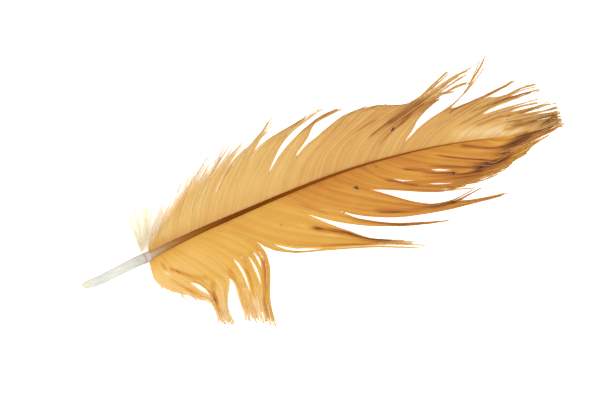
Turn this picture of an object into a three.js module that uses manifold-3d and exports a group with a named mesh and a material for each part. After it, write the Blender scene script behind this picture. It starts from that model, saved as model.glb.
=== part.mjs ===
import * as THREE from 'three';
import { mergeGeometries, mergeVertices } from 'three/addons/utils/BufferGeometryUtils.js';
import Module from 'manifold-3d';

// A chicken feather that lies arched on a flat surface. The quill's butt is at -X, the tip at +X,
// and the upper vane grows towards +Y.

// Real sizes in millimetres
const FEATHER_LENGTH = 150;
const QUILL_RADIUS = 1.52;
const BUTT_RADIUS = 0.95;
const RING_RADIUS = 1.62;
const SHAFT_RADIUS = 1.06;
const SHAFT_END_RADIUS = 0.32;
const SHAFT_RISE = 7.5;
const VANE_THICKNESS = 0.5;
const LOCK_RIDGE = 0.22;
const LOCK_TIP_WIDTH = 0.7;
const ROOT_OVERLAP = 0.3;
const RING_LENGTH_SHARE = 0.02;

// The shaft thins along its length by a power of what is left of it. A lock comes down to the surface
// at FLOOR_REACH of its length, and rises again to its tip where it is lifted.
const SHAFT_THINNING = 1.6;
const FLOOR_REACH = 0.86;
const FALL_POWER = 1.8;
const LIFT_POWER = 1.5;

// The middle of the feather's box, from the quill's butt
const BOX_CENTRE_ALONG = 75.1;
const BOX_CENTRE_ACROSS = -0.56;

// The outline was traced in pixels, with x to the right and y down
const BUTT = [83, 286];
const TIP = [562, 118];
const TRACED_LENGTH = Math.hypot(TIP[0] - BUTT[0], TIP[1] - BUTT[1]);
const SCALE = FEATHER_LENGTH / TRACED_LENGTH;
const CHORD_ANGLE = Math.atan2(BUTT[1] - TIP[1], TIP[0] - BUTT[0]);
const SHAFT_LINE = [
  [83, 286], [100, 280], [120, 270], [140, 260.2], [148, 257], [170, 245.5], [200, 231], [240, 213.5],
  [280, 196.3], [320, 180], [360, 166], [400, 155], [440, 146], [480, 140], [515, 136.5], [536, 131],
];
const RING_X = 147.5;

// Facets and curve steps
const SHAFT_SIDES = 12;
const SHAFT_STEPS = 44;
const LOCK_ROWS = 9;
const LOCK_COLUMNS = 2;
const EDGE_STEPS = 24;
const ARC_STEPS = 200;
const SEARCH_STEPS = 30;
const WELD_DISTANCE = 1e-4;

// Locks run from the butt to the tip. root is the traced x on the shaft of the parting on the lock's
// far side, which passes bend and opens at split; near and far guide the lock's own two edges from
// there to its tip, and lift raises the tip off the surface.
const UPPER_FIRST_ROOT = 145;
const UPPER_LOCKS = [
  { tip: [127, 213], near: [[136, 238]], root: 146, bend: [141, 243], split: [139, 235], lift: 1 },
  { tip: [133, 207], root: 146.8, bend: [143.5, 242], split: [142, 229], lift: 2 },
  { tip: [140, 187], root: 147.6, bend: [146, 240], split: [145, 222], lift: 1.5 },
  { tip: [148, 184], root: 148.6, bend: [148.5, 240], split: [149.5, 222], lift: 1 },
  { tip: [155, 202], root: 150, bend: [151.5, 240], split: [154, 225], lift: 0.6 },
  { tip: [163, 206], root: 154, bend: [156, 237], split: [162, 216] },
  { tip: [171, 197], root: 159, bend: [162, 231], split: [169, 208] },
  { tip: [180, 186], root: 164, bend: [168, 225], split: [177, 197] },
  { tip: [189, 175.5], root: 170, bend: [175, 217], split: [186, 188] },
  { tip: [197, 161], root: 176, bend: [181, 211], split: [193, 182], lift: 0.8 },
  { tip: [209, 159], root: 184, bend: [189, 205], split: [205, 178] },
  { tip: [221, 153.5], root: 192, bend: [197, 199], split: [215, 169] },
  { tip: [233, 147.5], root: 201, bend: [206, 193], split: [225, 161] },
  { tip: [249, 137], far: [[227, 168], [240, 149.5]], root: 209, bend: [212.5, 208], split: [217, 190] },
  { tip: [263, 130], near: [[228, 168.5], [242, 151]], root: 222, bend: [227, 195], split: [246, 152] },
  { tip: [275, 114], far: [[258, 145], [264, 132]], root: 236, bend: [241, 186], split: [251, 157], lift: 1 },
  { tip: [306, 116], near: [[265, 142], [280, 133]], root: 248, bend: [254, 187], split: [284, 137] },
  { tip: [325, 107], far: [[276, 153], [293, 131]], root: 259, bend: [263, 191], split: [268, 176], lift: 0.8 },
  { tip: [351, 104], near: [[281, 154], [296, 137], [325, 114]], root: 270, bend: [276, 178], split: [301, 134] },
  { tip: [342, 109.5], far: [[303, 142], [318, 121]], root: 282, bend: [287, 176], split: [295, 158] },
  { tip: [367, 102], near: [[305, 146], [322, 130], [343, 115]], root: 299, bend: [307, 164], split: [347, 117] },
  { tip: [390, 100], root: 316, bend: [325, 155], split: [368, 111] },
  { tip: [411, 103], near: [[385, 105.5]], root: 332, bend: [343, 147], split: [398, 109] },
  { tip: [449, 71], near: [[411, 103.5], [428, 88.5]], root: 345, bend: [361, 142], split: [424, 96.5], lift: 0.8 },
  { tip: [477, 64], near: [[435, 87.5], [460, 72]], root: 354, bend: [371, 139], split: [431, 93.5], lift: 1.2 },
  { tip: [473, 71.5], far: [[450, 85]], root: 364, bend: [381, 137], split: [439, 92.5] },
  { tip: [471, 81], root: 373, bend: [389, 135], split: [441, 95] },
  { tip: [462, 90.5], far: [[450, 93.5]], root: 381, bend: [395, 136], split: [434, 99.5] },
  { tip: [442, 97], far: [[409, 134], [416, 122.5], [430, 106]], root: 397, bend: [399.5, 151], split: [403, 144] },
  {
    tip: [483, 57], near: [[413, 131], [430, 118], [448, 106.5], [462, 93.5], [471, 79]],
    far: [[463, 95], [472, 80.5]], root: 404, bend: [415, 136], split: [448, 110], lift: 3,
  },
  { tip: [519, 79.5], near: [[470, 101], [500, 87]], root: 418, bend: [433, 133], split: [483, 99.5] },
  { tip: [537, 84], near: [[505, 96.5], [526, 86.5]], root: 430, bend: [447, 131], split: [503, 98.5], lift: 0.8 },
  { tip: [540, 89], far: [[497, 106], [512, 100]], root: 440, bend: [457, 129], split: [480, 116] },
  { tip: [550, 99], near: [[503, 108], [520, 104.5]], root: 451, bend: [468, 128], split: [500, 114.5] },
  { tip: [557, 104], near: [[515, 112.5], [540, 109]], root: 463, bend: [480, 127], split: [516, 117] },
  { tip: [560, 110], root: 476, bend: [493, 128], split: [526, 119] },
  { tip: [561, 116], root: 490, bend: [507, 128], split: [534, 121] },
  { tip: [561, 121], root: 505, bend: [518, 131], split: [540, 123] },
  { tip: [559, 124.5] },
];
const LOWER_FIRST_ROOT = 149;
const LOWER_LOCKS = [
  {
    tip: [220, 324], near: [[157, 281], [170, 290.5], [198, 301.5], [213, 308]],
    far: [[201, 290], [212, 301]], root: 156, bend: [170, 273], split: [191, 283],
  },
  { tip: [227, 326.5], near: [[202, 288.5], [213, 299.5]], root: 163, bend: [187, 266], split: [214, 290] },
  { tip: [234, 326], far: [[227.5, 300]], root: 172, bend: [200, 259], split: [228, 277], lift: 0.6 },
  { tip: [247, 321], near: [[238, 289.5], [243, 305]], root: 179, bend: [210, 256], split: [246.5, 289] },
  { tip: [260, 323], far: [[240, 269.5], [247, 288], [253, 306]], root: 187, bend: [211, 245], split: [231, 257] },
  {
    tip: [266, 326], near: [[243, 266.5], [251, 286], [254, 303]],
    far: [[255, 268], [259, 285], [262, 306]], root: 196, bend: [225, 243], split: [247, 256], lift: 0.5,
  },
  {
    tip: [268, 327], near: [[257, 266], [261.5, 285]],
    far: [[260.5, 265], [264, 285], [266, 306]], root: 203, bend: [233, 240], split: [253, 252],
  },
  { tip: [271, 327.5], near: [[262, 264], [265.5, 285]], root: 207, bend: [234, 236], split: [267.5, 300] },
  { tip: [276, 328], far: [[266.5, 257], [269.5, 280]], root: 211, bend: [235, 232], split: [256, 241] },
  {
    tip: [418, 247.5], near: [[275, 249.5], [297, 253], [330, 249], [375, 244.8]],
    far: [[297, 249.8], [330, 248]], root: 217, bend: [243, 233.5], split: [270, 242.3],
  },
  { tip: [430, 245], near: [[297, 248.2], [330, 246.8]], root: 231, bend: [275, 235], split: [372, 243] },
  { tip: [417, 242.5], root: 247, bend: [285, 224], split: [368, 239.5], lift: 0.6 },
  { tip: [406, 240], far: [[325, 222.5], [355, 235]], root: 262, bend: [284, 208], split: [304, 213] },
  { tip: [445, 223], near: [[335, 220], [380, 226], [415, 226]], root: 273, bend: [305, 209], split: [395, 224.5] },
  { tip: [453, 220.5], far: [[360, 219], [385, 222.5]], root: 285, bend: [312, 206.5], split: [341, 211], lift: 0.8 },
  { tip: [493, 200.5], near: [[360, 215], [390, 217], [450, 210]], root: 300, bend: [342, 202], split: [455, 206] },
  { tip: [508, 193], root: 316, bend: [352, 194], split: [463, 201.5], lift: 1 },
  { tip: [482, 188], far: [[390, 196.5], [435, 203.5]], root: 332, bend: [350, 183], split: [368, 189], lift: 1.5 },
  { tip: [478, 182.5], near: [[395, 190.5], [445, 191.5]], root: 345, bend: [376, 183], split: [450, 187] },
  { tip: [501, 172], far: [[436, 184]], root: 355, bend: [387, 181], split: [424, 183.5] },
  { tip: [516, 160], near: [[436, 182.5]], far: [[401, 181.8]], root: 364, bend: [379, 176], split: [393, 179.2] },
  { tip: [528, 151], near: [[401, 179.8]], far: [[442, 171.9]], root: 384, bend: [405, 166], split: [427, 169.5] },
  { tip: [541, 141], near: [[442, 168.7]], root: 398, bend: [432, 162], split: [480, 168.7] },
  { tip: [552, 131], root: 412, bend: [446, 157], split: [492, 161] },
  { tip: [564, 123.5], root: 430, bend: [462, 152], split: [508, 152] },
  { tip: [561, 120], root: 450, bend: [480, 148], split: [522, 142] },
  { tip: [560, 117], root: 471, bend: [493, 144], split: [527, 136] },
  { tip: [558, 113.5] },
];

const MATERIAL = new THREE.MeshStandardMaterial({ color: 0xe0a85c, roughness: 0.75, metalness: 0 });

const wasm = await Module();
wasm.setup();

// A traced point, turned so that the chord lies along X
function place([x, y]) {
  const right = (x - BUTT[0]) * SCALE;
  const up = (BUTT[1] - y) * SCALE;
  const along = right * Math.cos(CHORD_ANGLE) + up * Math.sin(CHORD_ANGLE);
  const across = up * Math.cos(CHORD_ANGLE) - right * Math.sin(CHORD_ANGLE);
  return new THREE.Vector3(along, across, 0);
}

// Height of the shaft's middle line over the surface: a long low arch from butt to tip
function shaftHeight(along) {
  const share = THREE.MathUtils.clamp(along / FEATHER_LENGTH, 0, 1);
  return BUTT_RADIUS + SHAFT_RISE * Math.sin(Math.PI * share);
}

function smoothCurve(points) {
  return new THREE.CatmullRomCurve3(points, false, 'centripetal');
}

const shaftFlat = smoothCurve(SHAFT_LINE.map(place));

// The point of the flat shaft line over a traced x
function onShaft(x) {
  let low = 0;
  let high = 1;
  const wanted = (x - BUTT[0]) * SCALE;
  for (let step = 0; step < SEARCH_STEPS; step += 1) {
    const middle = (low + high) / 2;
    const point = shaftFlat.getPoint(middle);
    const right = point.x * Math.cos(CHORD_ANGLE) - point.y * Math.sin(CHORD_ANGLE);
    if (right < wanted) low = middle;
    else high = middle;
  }
  return low;
}

// The points of a curve from the share start to its end, evenly spaced
function spacedFrom(curve, start, steps) {
  const fine = Array.from({ length: EDGE_STEPS + 1 }, (_, i) => (
    curve.getPoint(start + ((1 - start) * i) / EDGE_STEPS)
  ));
  return smoothCurve(fine).getSpacedPoints(steps);
}

// A parting leaves the shaft, runs out between two locks and opens at its split
function parting(root, bend, split, side) {
  const share = onShaft(root);
  const tangent = shaftFlat.getTangent(share);
  const across = new THREE.Vector3(-tangent.y, tangent.x, 0).multiplyScalar(-side * ROOT_OVERLAP);
  const start = shaftFlat.getPoint(share).add(across);
  const height = shaftHeight(start.x) - VANE_THICKNESS / 2;
  if (!split) return { start, height, length: 0 };
  const trunk = smoothCurve([start, place(bend), place(split)]);
  return { start, height, trunk, bend: place(bend), split: place(split), length: trunk.getLength() };
}

// The number of rows of a parting that lie before its split
function rowsBefore(line, tips) {
  if (!line.trunk) return 0;
  const free = tips.map((tip) => place(tip).distanceTo(line.split));
  const mean = free.reduce((sum, length) => sum + length, 0) / free.length;
  const rows = Math.round((LOCK_ROWS * line.length) / (line.length + mean));
  return THREE.MathUtils.clamp(rows, 1, LOCK_ROWS - 2);
}

// One edge of a lock: along the parting up to the split, then free to the lock's tip
function lockEdge(line, guides, tip, lift) {
  const free = [...guides.map(place), tip];
  const points = [];
  if (line.trunk) {
    points.push(...line.trunk.getSpacedPoints(line.rows));
    const curve = smoothCurve([line.bend, line.split, ...free]);
    points.push(...spacedFrom(curve, 1 / (free.length + 1), LOCK_ROWS - line.rows).slice(1));
  } else {
    points.push(...smoothCurve([line.start, ...free]).getSpacedPoints(LOCK_ROWS));
  }
  points.forEach((point, row) => {
    const out = Math.min(row / LOCK_ROWS / FLOOR_REACH, 1);
    const freed = Math.max(row - line.rows, 0) / (LOCK_ROWS - line.rows);
    point.z = line.height * (1 - out ** FALL_POWER) + lift * freed ** LIFT_POWER;
  });
  return points;
}

// The block's triangles without the walls that face a neighbour before the splits
function openWalls(block, side, nearRows, farRows) {
  const corners = block.attributes.position;
  const facing = block.attributes.normal;
  const kept = [];
  for (let i = 0; i < block.index.count; i += 3) {
    const triangle = [0, 1, 2].map((k) => block.index.getX(i + k));
    const top = Math.max(...triangle.map((k) => Math.round((corners.getY(k) + 0.5) * LOCK_ROWS)));
    const outward = Math.round(facing.getX(triangle[0])) * side;
    const joined = outward < 0 ? nearRows : farRows;
    if (outward === 0 || top > joined) kept.push(...triangle);
  }
  block.setIndex(kept);
}

// A lock is a block bent between its two edges, a little thicker along its middle
function lockGeometry(near, far, side, nearRows, farRows) {
  const block = new THREE.BoxGeometry(1, 1, 1, LOCK_COLUMNS, LOCK_ROWS, 1);
  openWalls(block, side, nearRows, farRows);
  const corners = block.attributes.position;
  const corner = new THREE.Vector3();
  for (let i = 0; i < corners.count; i += 1) {
    corner.fromBufferAttribute(corners, i);
    const share = 0.5 + side * corner.x;
    const row = Math.round((corner.y + 0.5) * LOCK_ROWS);
    const point = near[row].clone().lerp(far[row], share);
    const ridge = Math.abs(corner.x) < 0.5 / LOCK_COLUMNS && row < LOCK_ROWS ? LOCK_RIDGE : 0;
    if (corner.z > 0) point.z += VANE_THICKNESS + ridge;
    corners.setXYZ(i, point.x, point.y, point.z);
  }
  return block;
}

// One vane: all its locks, joined along their partings up to the splits
function vaneGeometry(locks, firstRoot, side) {
  const lines = [parting(firstRoot, null, null, side)];
  locks.forEach((lock) => {
    const root = lock.root ?? SHAFT_LINE.at(-1)[0];
    lines.push(parting(root, lock.bend, lock.split, side));
  });
  lines.forEach((line, i) => {
    line.rows = rowsBefore(line, [locks[i - 1], locks[i]].filter(Boolean).map((lock) => lock.tip));
  });
  const bent = locks.map((lock, i) => {
    const tip = place(lock.tip);
    const from = lines[i].split ?? lines[i].start;
    const aim = tip.clone().sub(from).normalize();
    const half = new THREE.Vector3(-aim.y, aim.x, 0).multiplyScalar((side * LOCK_TIP_WIDTH) / 2);
    const near = lockEdge(lines[i], lock.near ?? [], tip.clone().add(half), lock.lift ?? 0);
    const far = lockEdge(lines[i + 1], lock.far ?? [], tip.clone().sub(half), lock.lift ?? 0);
    return lockGeometry(near, far, side, lines[i].rows, lines[i + 1].rows);
  });
  return mergeGeometries(bent);
}

// The quill and shaft are turned to their profile and then bent along the shaft line
function shaftGeometry() {
  const length = shaftFlat.getLength();
  const ringPlace = arcShare(onShaft(RING_X));
  const profile = [new THREE.Vector2(0, 0)];
  for (let step = 0; step <= SHAFT_STEPS; step += 1) {
    const share = step / SHAFT_STEPS;
    profile.push(new THREE.Vector2(shaftRadius(share, ringPlace), share * length));
  }
  profile.push(new THREE.Vector2(0, length));
  const lathe = new THREE.LatheGeometry(profile, SHAFT_SIDES);
  const corners = lathe.attributes.position;
  for (let i = 0; i < corners.count; i += 1) {
    const share = THREE.MathUtils.clamp(corners.getY(i) / length, 0, 1);
    const point = shaftFlat.getPointAt(share);
    const tangent = shaftFlat.getTangentAt(share);
    const side = new THREE.Vector3(tangent.y, -tangent.x, 0).multiplyScalar(corners.getX(i));
    const height = shaftHeight(point.x) + corners.getZ(i);
    corners.setXYZ(i, point.x + side.x, point.y + side.y, height);
  }
  return lathe;
}

// The share of the shaft's length at a curve parameter
function arcShare(parameter) {
  const lengths = shaftFlat.getLengths(ARC_STEPS);
  return lengths[Math.round(parameter * ARC_STEPS)] / lengths[ARC_STEPS];
}

function shaftRadius(share, ring) {
  if (share < ring) {
    return THREE.MathUtils.lerp(BUTT_RADIUS, QUILL_RADIUS, Math.sin((Math.PI / 2) * (share / ring)));
  }
  const past = (share - ring) / (1 - ring);
  const left = (1 - past) ** SHAFT_THINNING;
  return past < RING_LENGTH_SHARE ? RING_RADIUS : THREE.MathUtils.lerp(SHAFT_END_RADIUS, SHAFT_RADIUS, left);
}

function solid(geometry) {
  geometry.deleteAttribute('normal');
  geometry.deleteAttribute('uv');
  const merged = mergeVertices(geometry, WELD_DISTANCE);
  return new wasm.Manifold(new wasm.Mesh({
    numProp: 3,
    vertProperties: new Float32Array(merged.attributes.position.array),
    triVerts: new Uint32Array(merged.index.array),
  }));
}

function featherGeometry() {
  const pieces = [
    shaftGeometry(),
    vaneGeometry(UPPER_LOCKS, UPPER_FIRST_ROOT, 1),
    vaneGeometry(LOWER_LOCKS, LOWER_FIRST_ROOT, -1),
  ];
  const joined = pieces.map(solid).reduce((whole, piece) => whole.add(piece)).getMesh();
  const geometry = new THREE.BufferGeometry();
  geometry.setAttribute('position', new THREE.BufferAttribute(joined.vertProperties, 3));
  geometry.setIndex(new THREE.BufferAttribute(joined.triVerts, 1));
  geometry.translate(-BOX_CENTRE_ALONG, -BOX_CENTRE_ACROSS, 0);
  return geometry;
}

const group = new THREE.Group();
const feather = new THREE.Mesh(featherGeometry(), MATERIAL);
feather.name = 'feather';
group.add(feather);

export default group;
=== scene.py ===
"""A chicken feather lying on a white table: quill, shaft, two vanes of barbs, down and dirt."""
import logging
import math
from dataclasses import dataclass
from enum import Enum

import bpy
import numpy as np
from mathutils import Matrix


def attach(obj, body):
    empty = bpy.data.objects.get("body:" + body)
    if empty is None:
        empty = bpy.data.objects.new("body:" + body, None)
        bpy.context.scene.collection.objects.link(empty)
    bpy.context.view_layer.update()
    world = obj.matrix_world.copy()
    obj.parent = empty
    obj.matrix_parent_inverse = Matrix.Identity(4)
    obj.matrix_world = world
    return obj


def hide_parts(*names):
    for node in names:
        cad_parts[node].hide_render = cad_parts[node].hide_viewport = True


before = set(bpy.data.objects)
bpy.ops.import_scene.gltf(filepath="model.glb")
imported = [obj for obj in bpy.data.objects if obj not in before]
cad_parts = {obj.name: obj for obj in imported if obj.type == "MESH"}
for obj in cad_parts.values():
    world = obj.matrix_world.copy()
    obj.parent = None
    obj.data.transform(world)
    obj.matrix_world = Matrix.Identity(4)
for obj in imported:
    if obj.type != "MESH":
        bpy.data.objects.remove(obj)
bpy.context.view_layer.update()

LOG = logging.getLogger("feather")
MM = 0.001
SEED = 41
IMAGE_SIZE = (612, 402)

# Traced points are pixels of the traced picture, with x to the right and y down
Point = tuple[float, float]
Points = tuple[Point, ...]
Range = tuple[float, float]
Colour = tuple[int, int, int]
Stops = tuple[tuple[float, Colour], ...]
Array = np.ndarray
Random = np.random.Generator
Piece = bpy.types.Object

# Steps of a smooth line between two of its points, and the length under which a line has none
SPAN_STEPS = 12
NO_LENGTH = 1e-12

# A strand's section is a kite with its corners at the right, top, left and bottom
KITE = 4
# The top and bottom corners are marked 1 for the painted light along each barb's crest, the side corners 0
# for its painted shade
RIDGE_AT = (0.0, 1.0, 0.0, 1.0)
ACROSS_AT = (0.0, 0.5, 1.0, 0.5)

# The width left at the end of fine and coarse hairs, and how thick they are for their width
FINE_END = 0.4
COARSE_END = 0.5
STEM_THICKNESS = 0.6
HAIR_THICKNESS = 0.7
HAIR_STEP = 0.02
WAVE_STARTS = 6.0
NEAREST_POINTS = 4

# The display's colour curve
SRGB_DARK = 0.04045
SRGB_SLOPE = 12.92
SRGB_SHIFT = 0.055
SRGB_POWER = 2.4


@dataclass(frozen=True)
class Lock:
    """One lock of a vane, in traced points, listed from the butt to the tip.

    root is the traced x where the parting on its far side leaves the shaft. That parting passes bend
    and course and opens at split. near and far guide the lock's own edges on to its tip, which is lift
    millimetres over the table and blunt millimetres wide.
    """

    tip: Point
    root: float = 0.0
    bend: Point | None = None
    split: Point | None = None
    near: Points = ()
    far: Points = ()
    course: Points = ()
    lift: float = 0.0
    blunt: float = 0.5


@dataclass(frozen=True)
class PaintedStreak:
    """A stretch of painted shade, darker than the vane along a fold or a thick bundle, or of painted light,
    paler along a gap, where its strength is negative.

    width is in traced pixels, and strength is the shade that is added along the middle of the line.
    """

    line: Points
    width: float
    strength: float


BUTT: Point = (83, 286)
TIP: Point = (562, 118)
SHAFT_LINE: Points = (
    (83, 286), (100, 280), (120, 270), (140, 260.2), (148, 257), (170, 245.5), (200, 231), (240, 213.5),
    (280, 196.3), (320, 180), (360, 166), (400, 155), (440, 146), (480, 140), (515, 136.5), (536, 131),
)
UPPER_LOCKS: tuple[Lock, ...] = (
    Lock((125, 202), 146, (139.5, 242), (136, 231), lift=1, near=((138, 243), (131, 229))),
    Lock((131.5, 195), 146.8, (142.5, 241), (140.5, 227), lift=2),
    Lock((139, 181), 147.6, (145.5, 240), (144.5, 222), lift=1.5),
    Lock((148, 181), 148.6, (148.3, 240), (149, 222), lift=1),
    Lock((156, 196), 149.3, (149.6, 241), (152, 227), lift=0.6),
    Lock((164, 200), 154, (157, 237), (163, 216)),
    Lock((172.4, 190.4), 159, (162.5, 231), (170, 208)),
    Lock((181.4, 178.2), 164, (168, 225), (178, 197)),
    Lock((190.4, 167.3), 170, (175, 217), (186.5, 187)),
    Lock((199.2, 158.8), 176, (181, 211), (193, 182), lift=0.8),
    Lock((211.2, 153.8), 184, (189, 205), (205, 178)),
    Lock((223, 147.9), 192, (197, 199), (215, 169)),
    Lock((235.6, 142), 201, (206, 193), (225, 161)),
    Lock((250.8, 133.2), 209, (211.6, 211), (214.3, 199),
        far=((216.6, 190.3), (220.4, 181.8), (226.8, 170), (233, 159), (239, 151), (244.5, 144.6))),
    Lock((262, 131), 222, (227, 195), (246, 152),
        near=((217.4, 190.6), (221, 182), (227.1, 170.2), (233.9, 159.7), (242.8, 150.8), (248.3, 146)),
        far=((254.5, 140.5), (259, 135))),
    Lock((275, 114), 236, (241, 186), (251, 157.3), lift=1, blunt=0.4,
        near=((254.8, 140.8), (260.6, 135), (265, 128), (269, 121.4)),
        far=((254.8, 150.6), (257.4, 145.6), (260.8, 139), (264.1, 133.5), (267.4, 127), (271.6, 120.8))),
    Lock((309, 114.3), 248, (254, 187), (284, 137),
        near=((255.7, 150), (261.2, 144.8), (266.6, 140.5), (272, 136.9), (282, 130.8), (292.6, 124.5),
        (300, 120.3))),
    Lock((325, 107), 259, (263, 191), (267.3, 177.3), lift=0.8,
        near=((290, 131.5), (297, 125.6), (304, 119.6), (311.5, 113.4), (318, 109.6)),
        far=((271.4, 166), (275.3, 157), (279.6, 148.5), (285.7, 139.2), (292.8, 131.6), (299, 126.2),
        (305.6, 121), (311.9, 116), (318, 111))),
    Lock((349, 104.5), 270, (276, 178), (301, 134),
        near=((273, 167.2), (278.2, 158.2), (284.6, 149.3), (293.4, 139), (300.3, 132.2), (308.5, 125.3),
        (316.8, 118.4), (325, 113.3), (333.9, 108.9))),
    Lock((342, 109.5), 282, (287, 176), (294.6, 159),
        far=((296.9, 153.7), (299.7, 149.5), (303.8, 144), (308.5, 137), (310.8, 131.5), (313.4, 126),
        (317.7, 120.5), (323, 117.2), (330, 114))),
    Lock((369, 106.2), 299, (307, 164), (347, 117),
        near=((298.6, 154.6), (301.4, 150.7), (305, 146.8), (310, 142.2), (317.2, 136.6), (323, 131.3),
        (329.6, 126), (336.8, 120.3), (345, 115), (353, 111.6), (361, 108.6))),
    Lock((388, 104), 316, (325, 155), (368, 111), blunt=0.3, near=((372, 106), (380, 104.9))),
    Lock((412, 103), 332, (343, 147), (398, 109), near=((385, 105.4), (394, 105.2), (404, 104.9))),
    Lock((449, 71), 345, (361, 142), (424, 96.5), lift=0.8,
        near=((411, 104.2), (420.5, 96.6), (430, 87.4), (440, 78.6)),
        far=((430, 89.4), (438, 81.6))),
    Lock((476, 65), 354, (371, 139), (431, 93.5), lift=1.2,
        near=((432, 89.8), (443, 82.2), (456.5, 73.8), (467, 69))),
    Lock((472.5, 72.5), 364, (381, 137), (437, 94), blunt=0.8,
        near=((437.5, 90), (445, 84.2), (452.8, 79.2), (460.3, 74.6), (466, 72.2)),
        far=((441, 92.6), (449, 86.6), (456, 81.6), (464.2, 76.7))),
    Lock((470.5, 81.3), 373, (389, 135), (440, 96),
        near=((445, 91), (453, 85.4), (461, 82.4)),
        far=((447, 92.6), (456, 88), (464, 84))),
    Lock((462, 91), 381, (395, 136), (434, 99.5),
        near=((444, 94), (452, 92.4)),
        far=((442, 96.2), (450, 94.5))),
    Lock((440, 98), 397, (399.5, 151), (403, 144),
        far=((405.5, 139.4), (409.7, 133.5), (414, 126.5), (417.2, 120.5), (424.5, 111.7), (433, 104))),
    Lock((484.3, 54.5), 404, (415, 136), (447.5, 110.2), lift=3, blunt=0.5,
        near=((411.3, 135.4), (416.2, 130), (430, 118.6), (442, 110.9), (452.6, 103.4), (460.3, 95.6),
        (467.2, 86.4), (474.4, 73.6), (478.8, 65)),
        far=((452.6, 105.9), (457.2, 101.2), (461.1, 96.6), (465, 91.9), (468.9, 85.9), (475.5, 73.7),
        (479.6, 66))),
    Lock((520, 78.8), 418, (433, 133), (483, 99.3), blunt=0.8,
        near=((453, 108.5), (464, 104), (472, 101), (479.5, 97.9), (487, 94.4), (495, 90.2), (503.6, 86),
        (510, 82.4)),
        far=((490, 95.8), (497, 92.2), (504, 88.5), (511, 84.8))),
    Lock((538, 84.8), 430, (447, 131), (503, 98.5), lift=0.8, blunt=0.6,
        near=((492, 98.2), (503.6, 96.8), (509.5, 94.1), (515, 91), (521, 88.5), (527, 87)),
        far=((512, 94.4), (517, 91.6), (523, 89.3))),
    Lock((541, 89.2), 440, (457, 129), (480, 116), blunt=0.7,
        near=((509, 97.2), (516.4, 95), (522, 92.8), (529, 90.9)),
        far=((489, 109.6), (495, 106.8), (501.6, 103.9), (512, 100.2), (522, 96.3), (530, 93))),
    Lock((549.5, 98.8), 451, (468, 128), (501, 114.3), blunt=1.0,
        near=((488, 113), (496.3, 110), (505.8, 107), (514, 105), (521, 103.4), (529.3, 101.3),
        (537, 99.6)),
        far=((509.5, 112), (516, 108.6), (522, 106.4), (531, 103.8), (540, 101.3))),
    Lock((558, 103.6), 463, (480, 127), (516, 117), blunt=1.8,
        near=((513, 111.7), (523, 109.6), (532, 107.6), (538, 106), (544, 104), (550, 102.4))),
    Lock((560.5, 109), 476, (493, 128), (526, 119), blunt=2.0),
    Lock((562, 113.8), 490, (507, 128), (534, 121), blunt=1.8),
    Lock((563, 117.6), 505, (518, 131), (540, 123), blunt=1.6),
    Lock((562.5, 121)),
)
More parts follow.
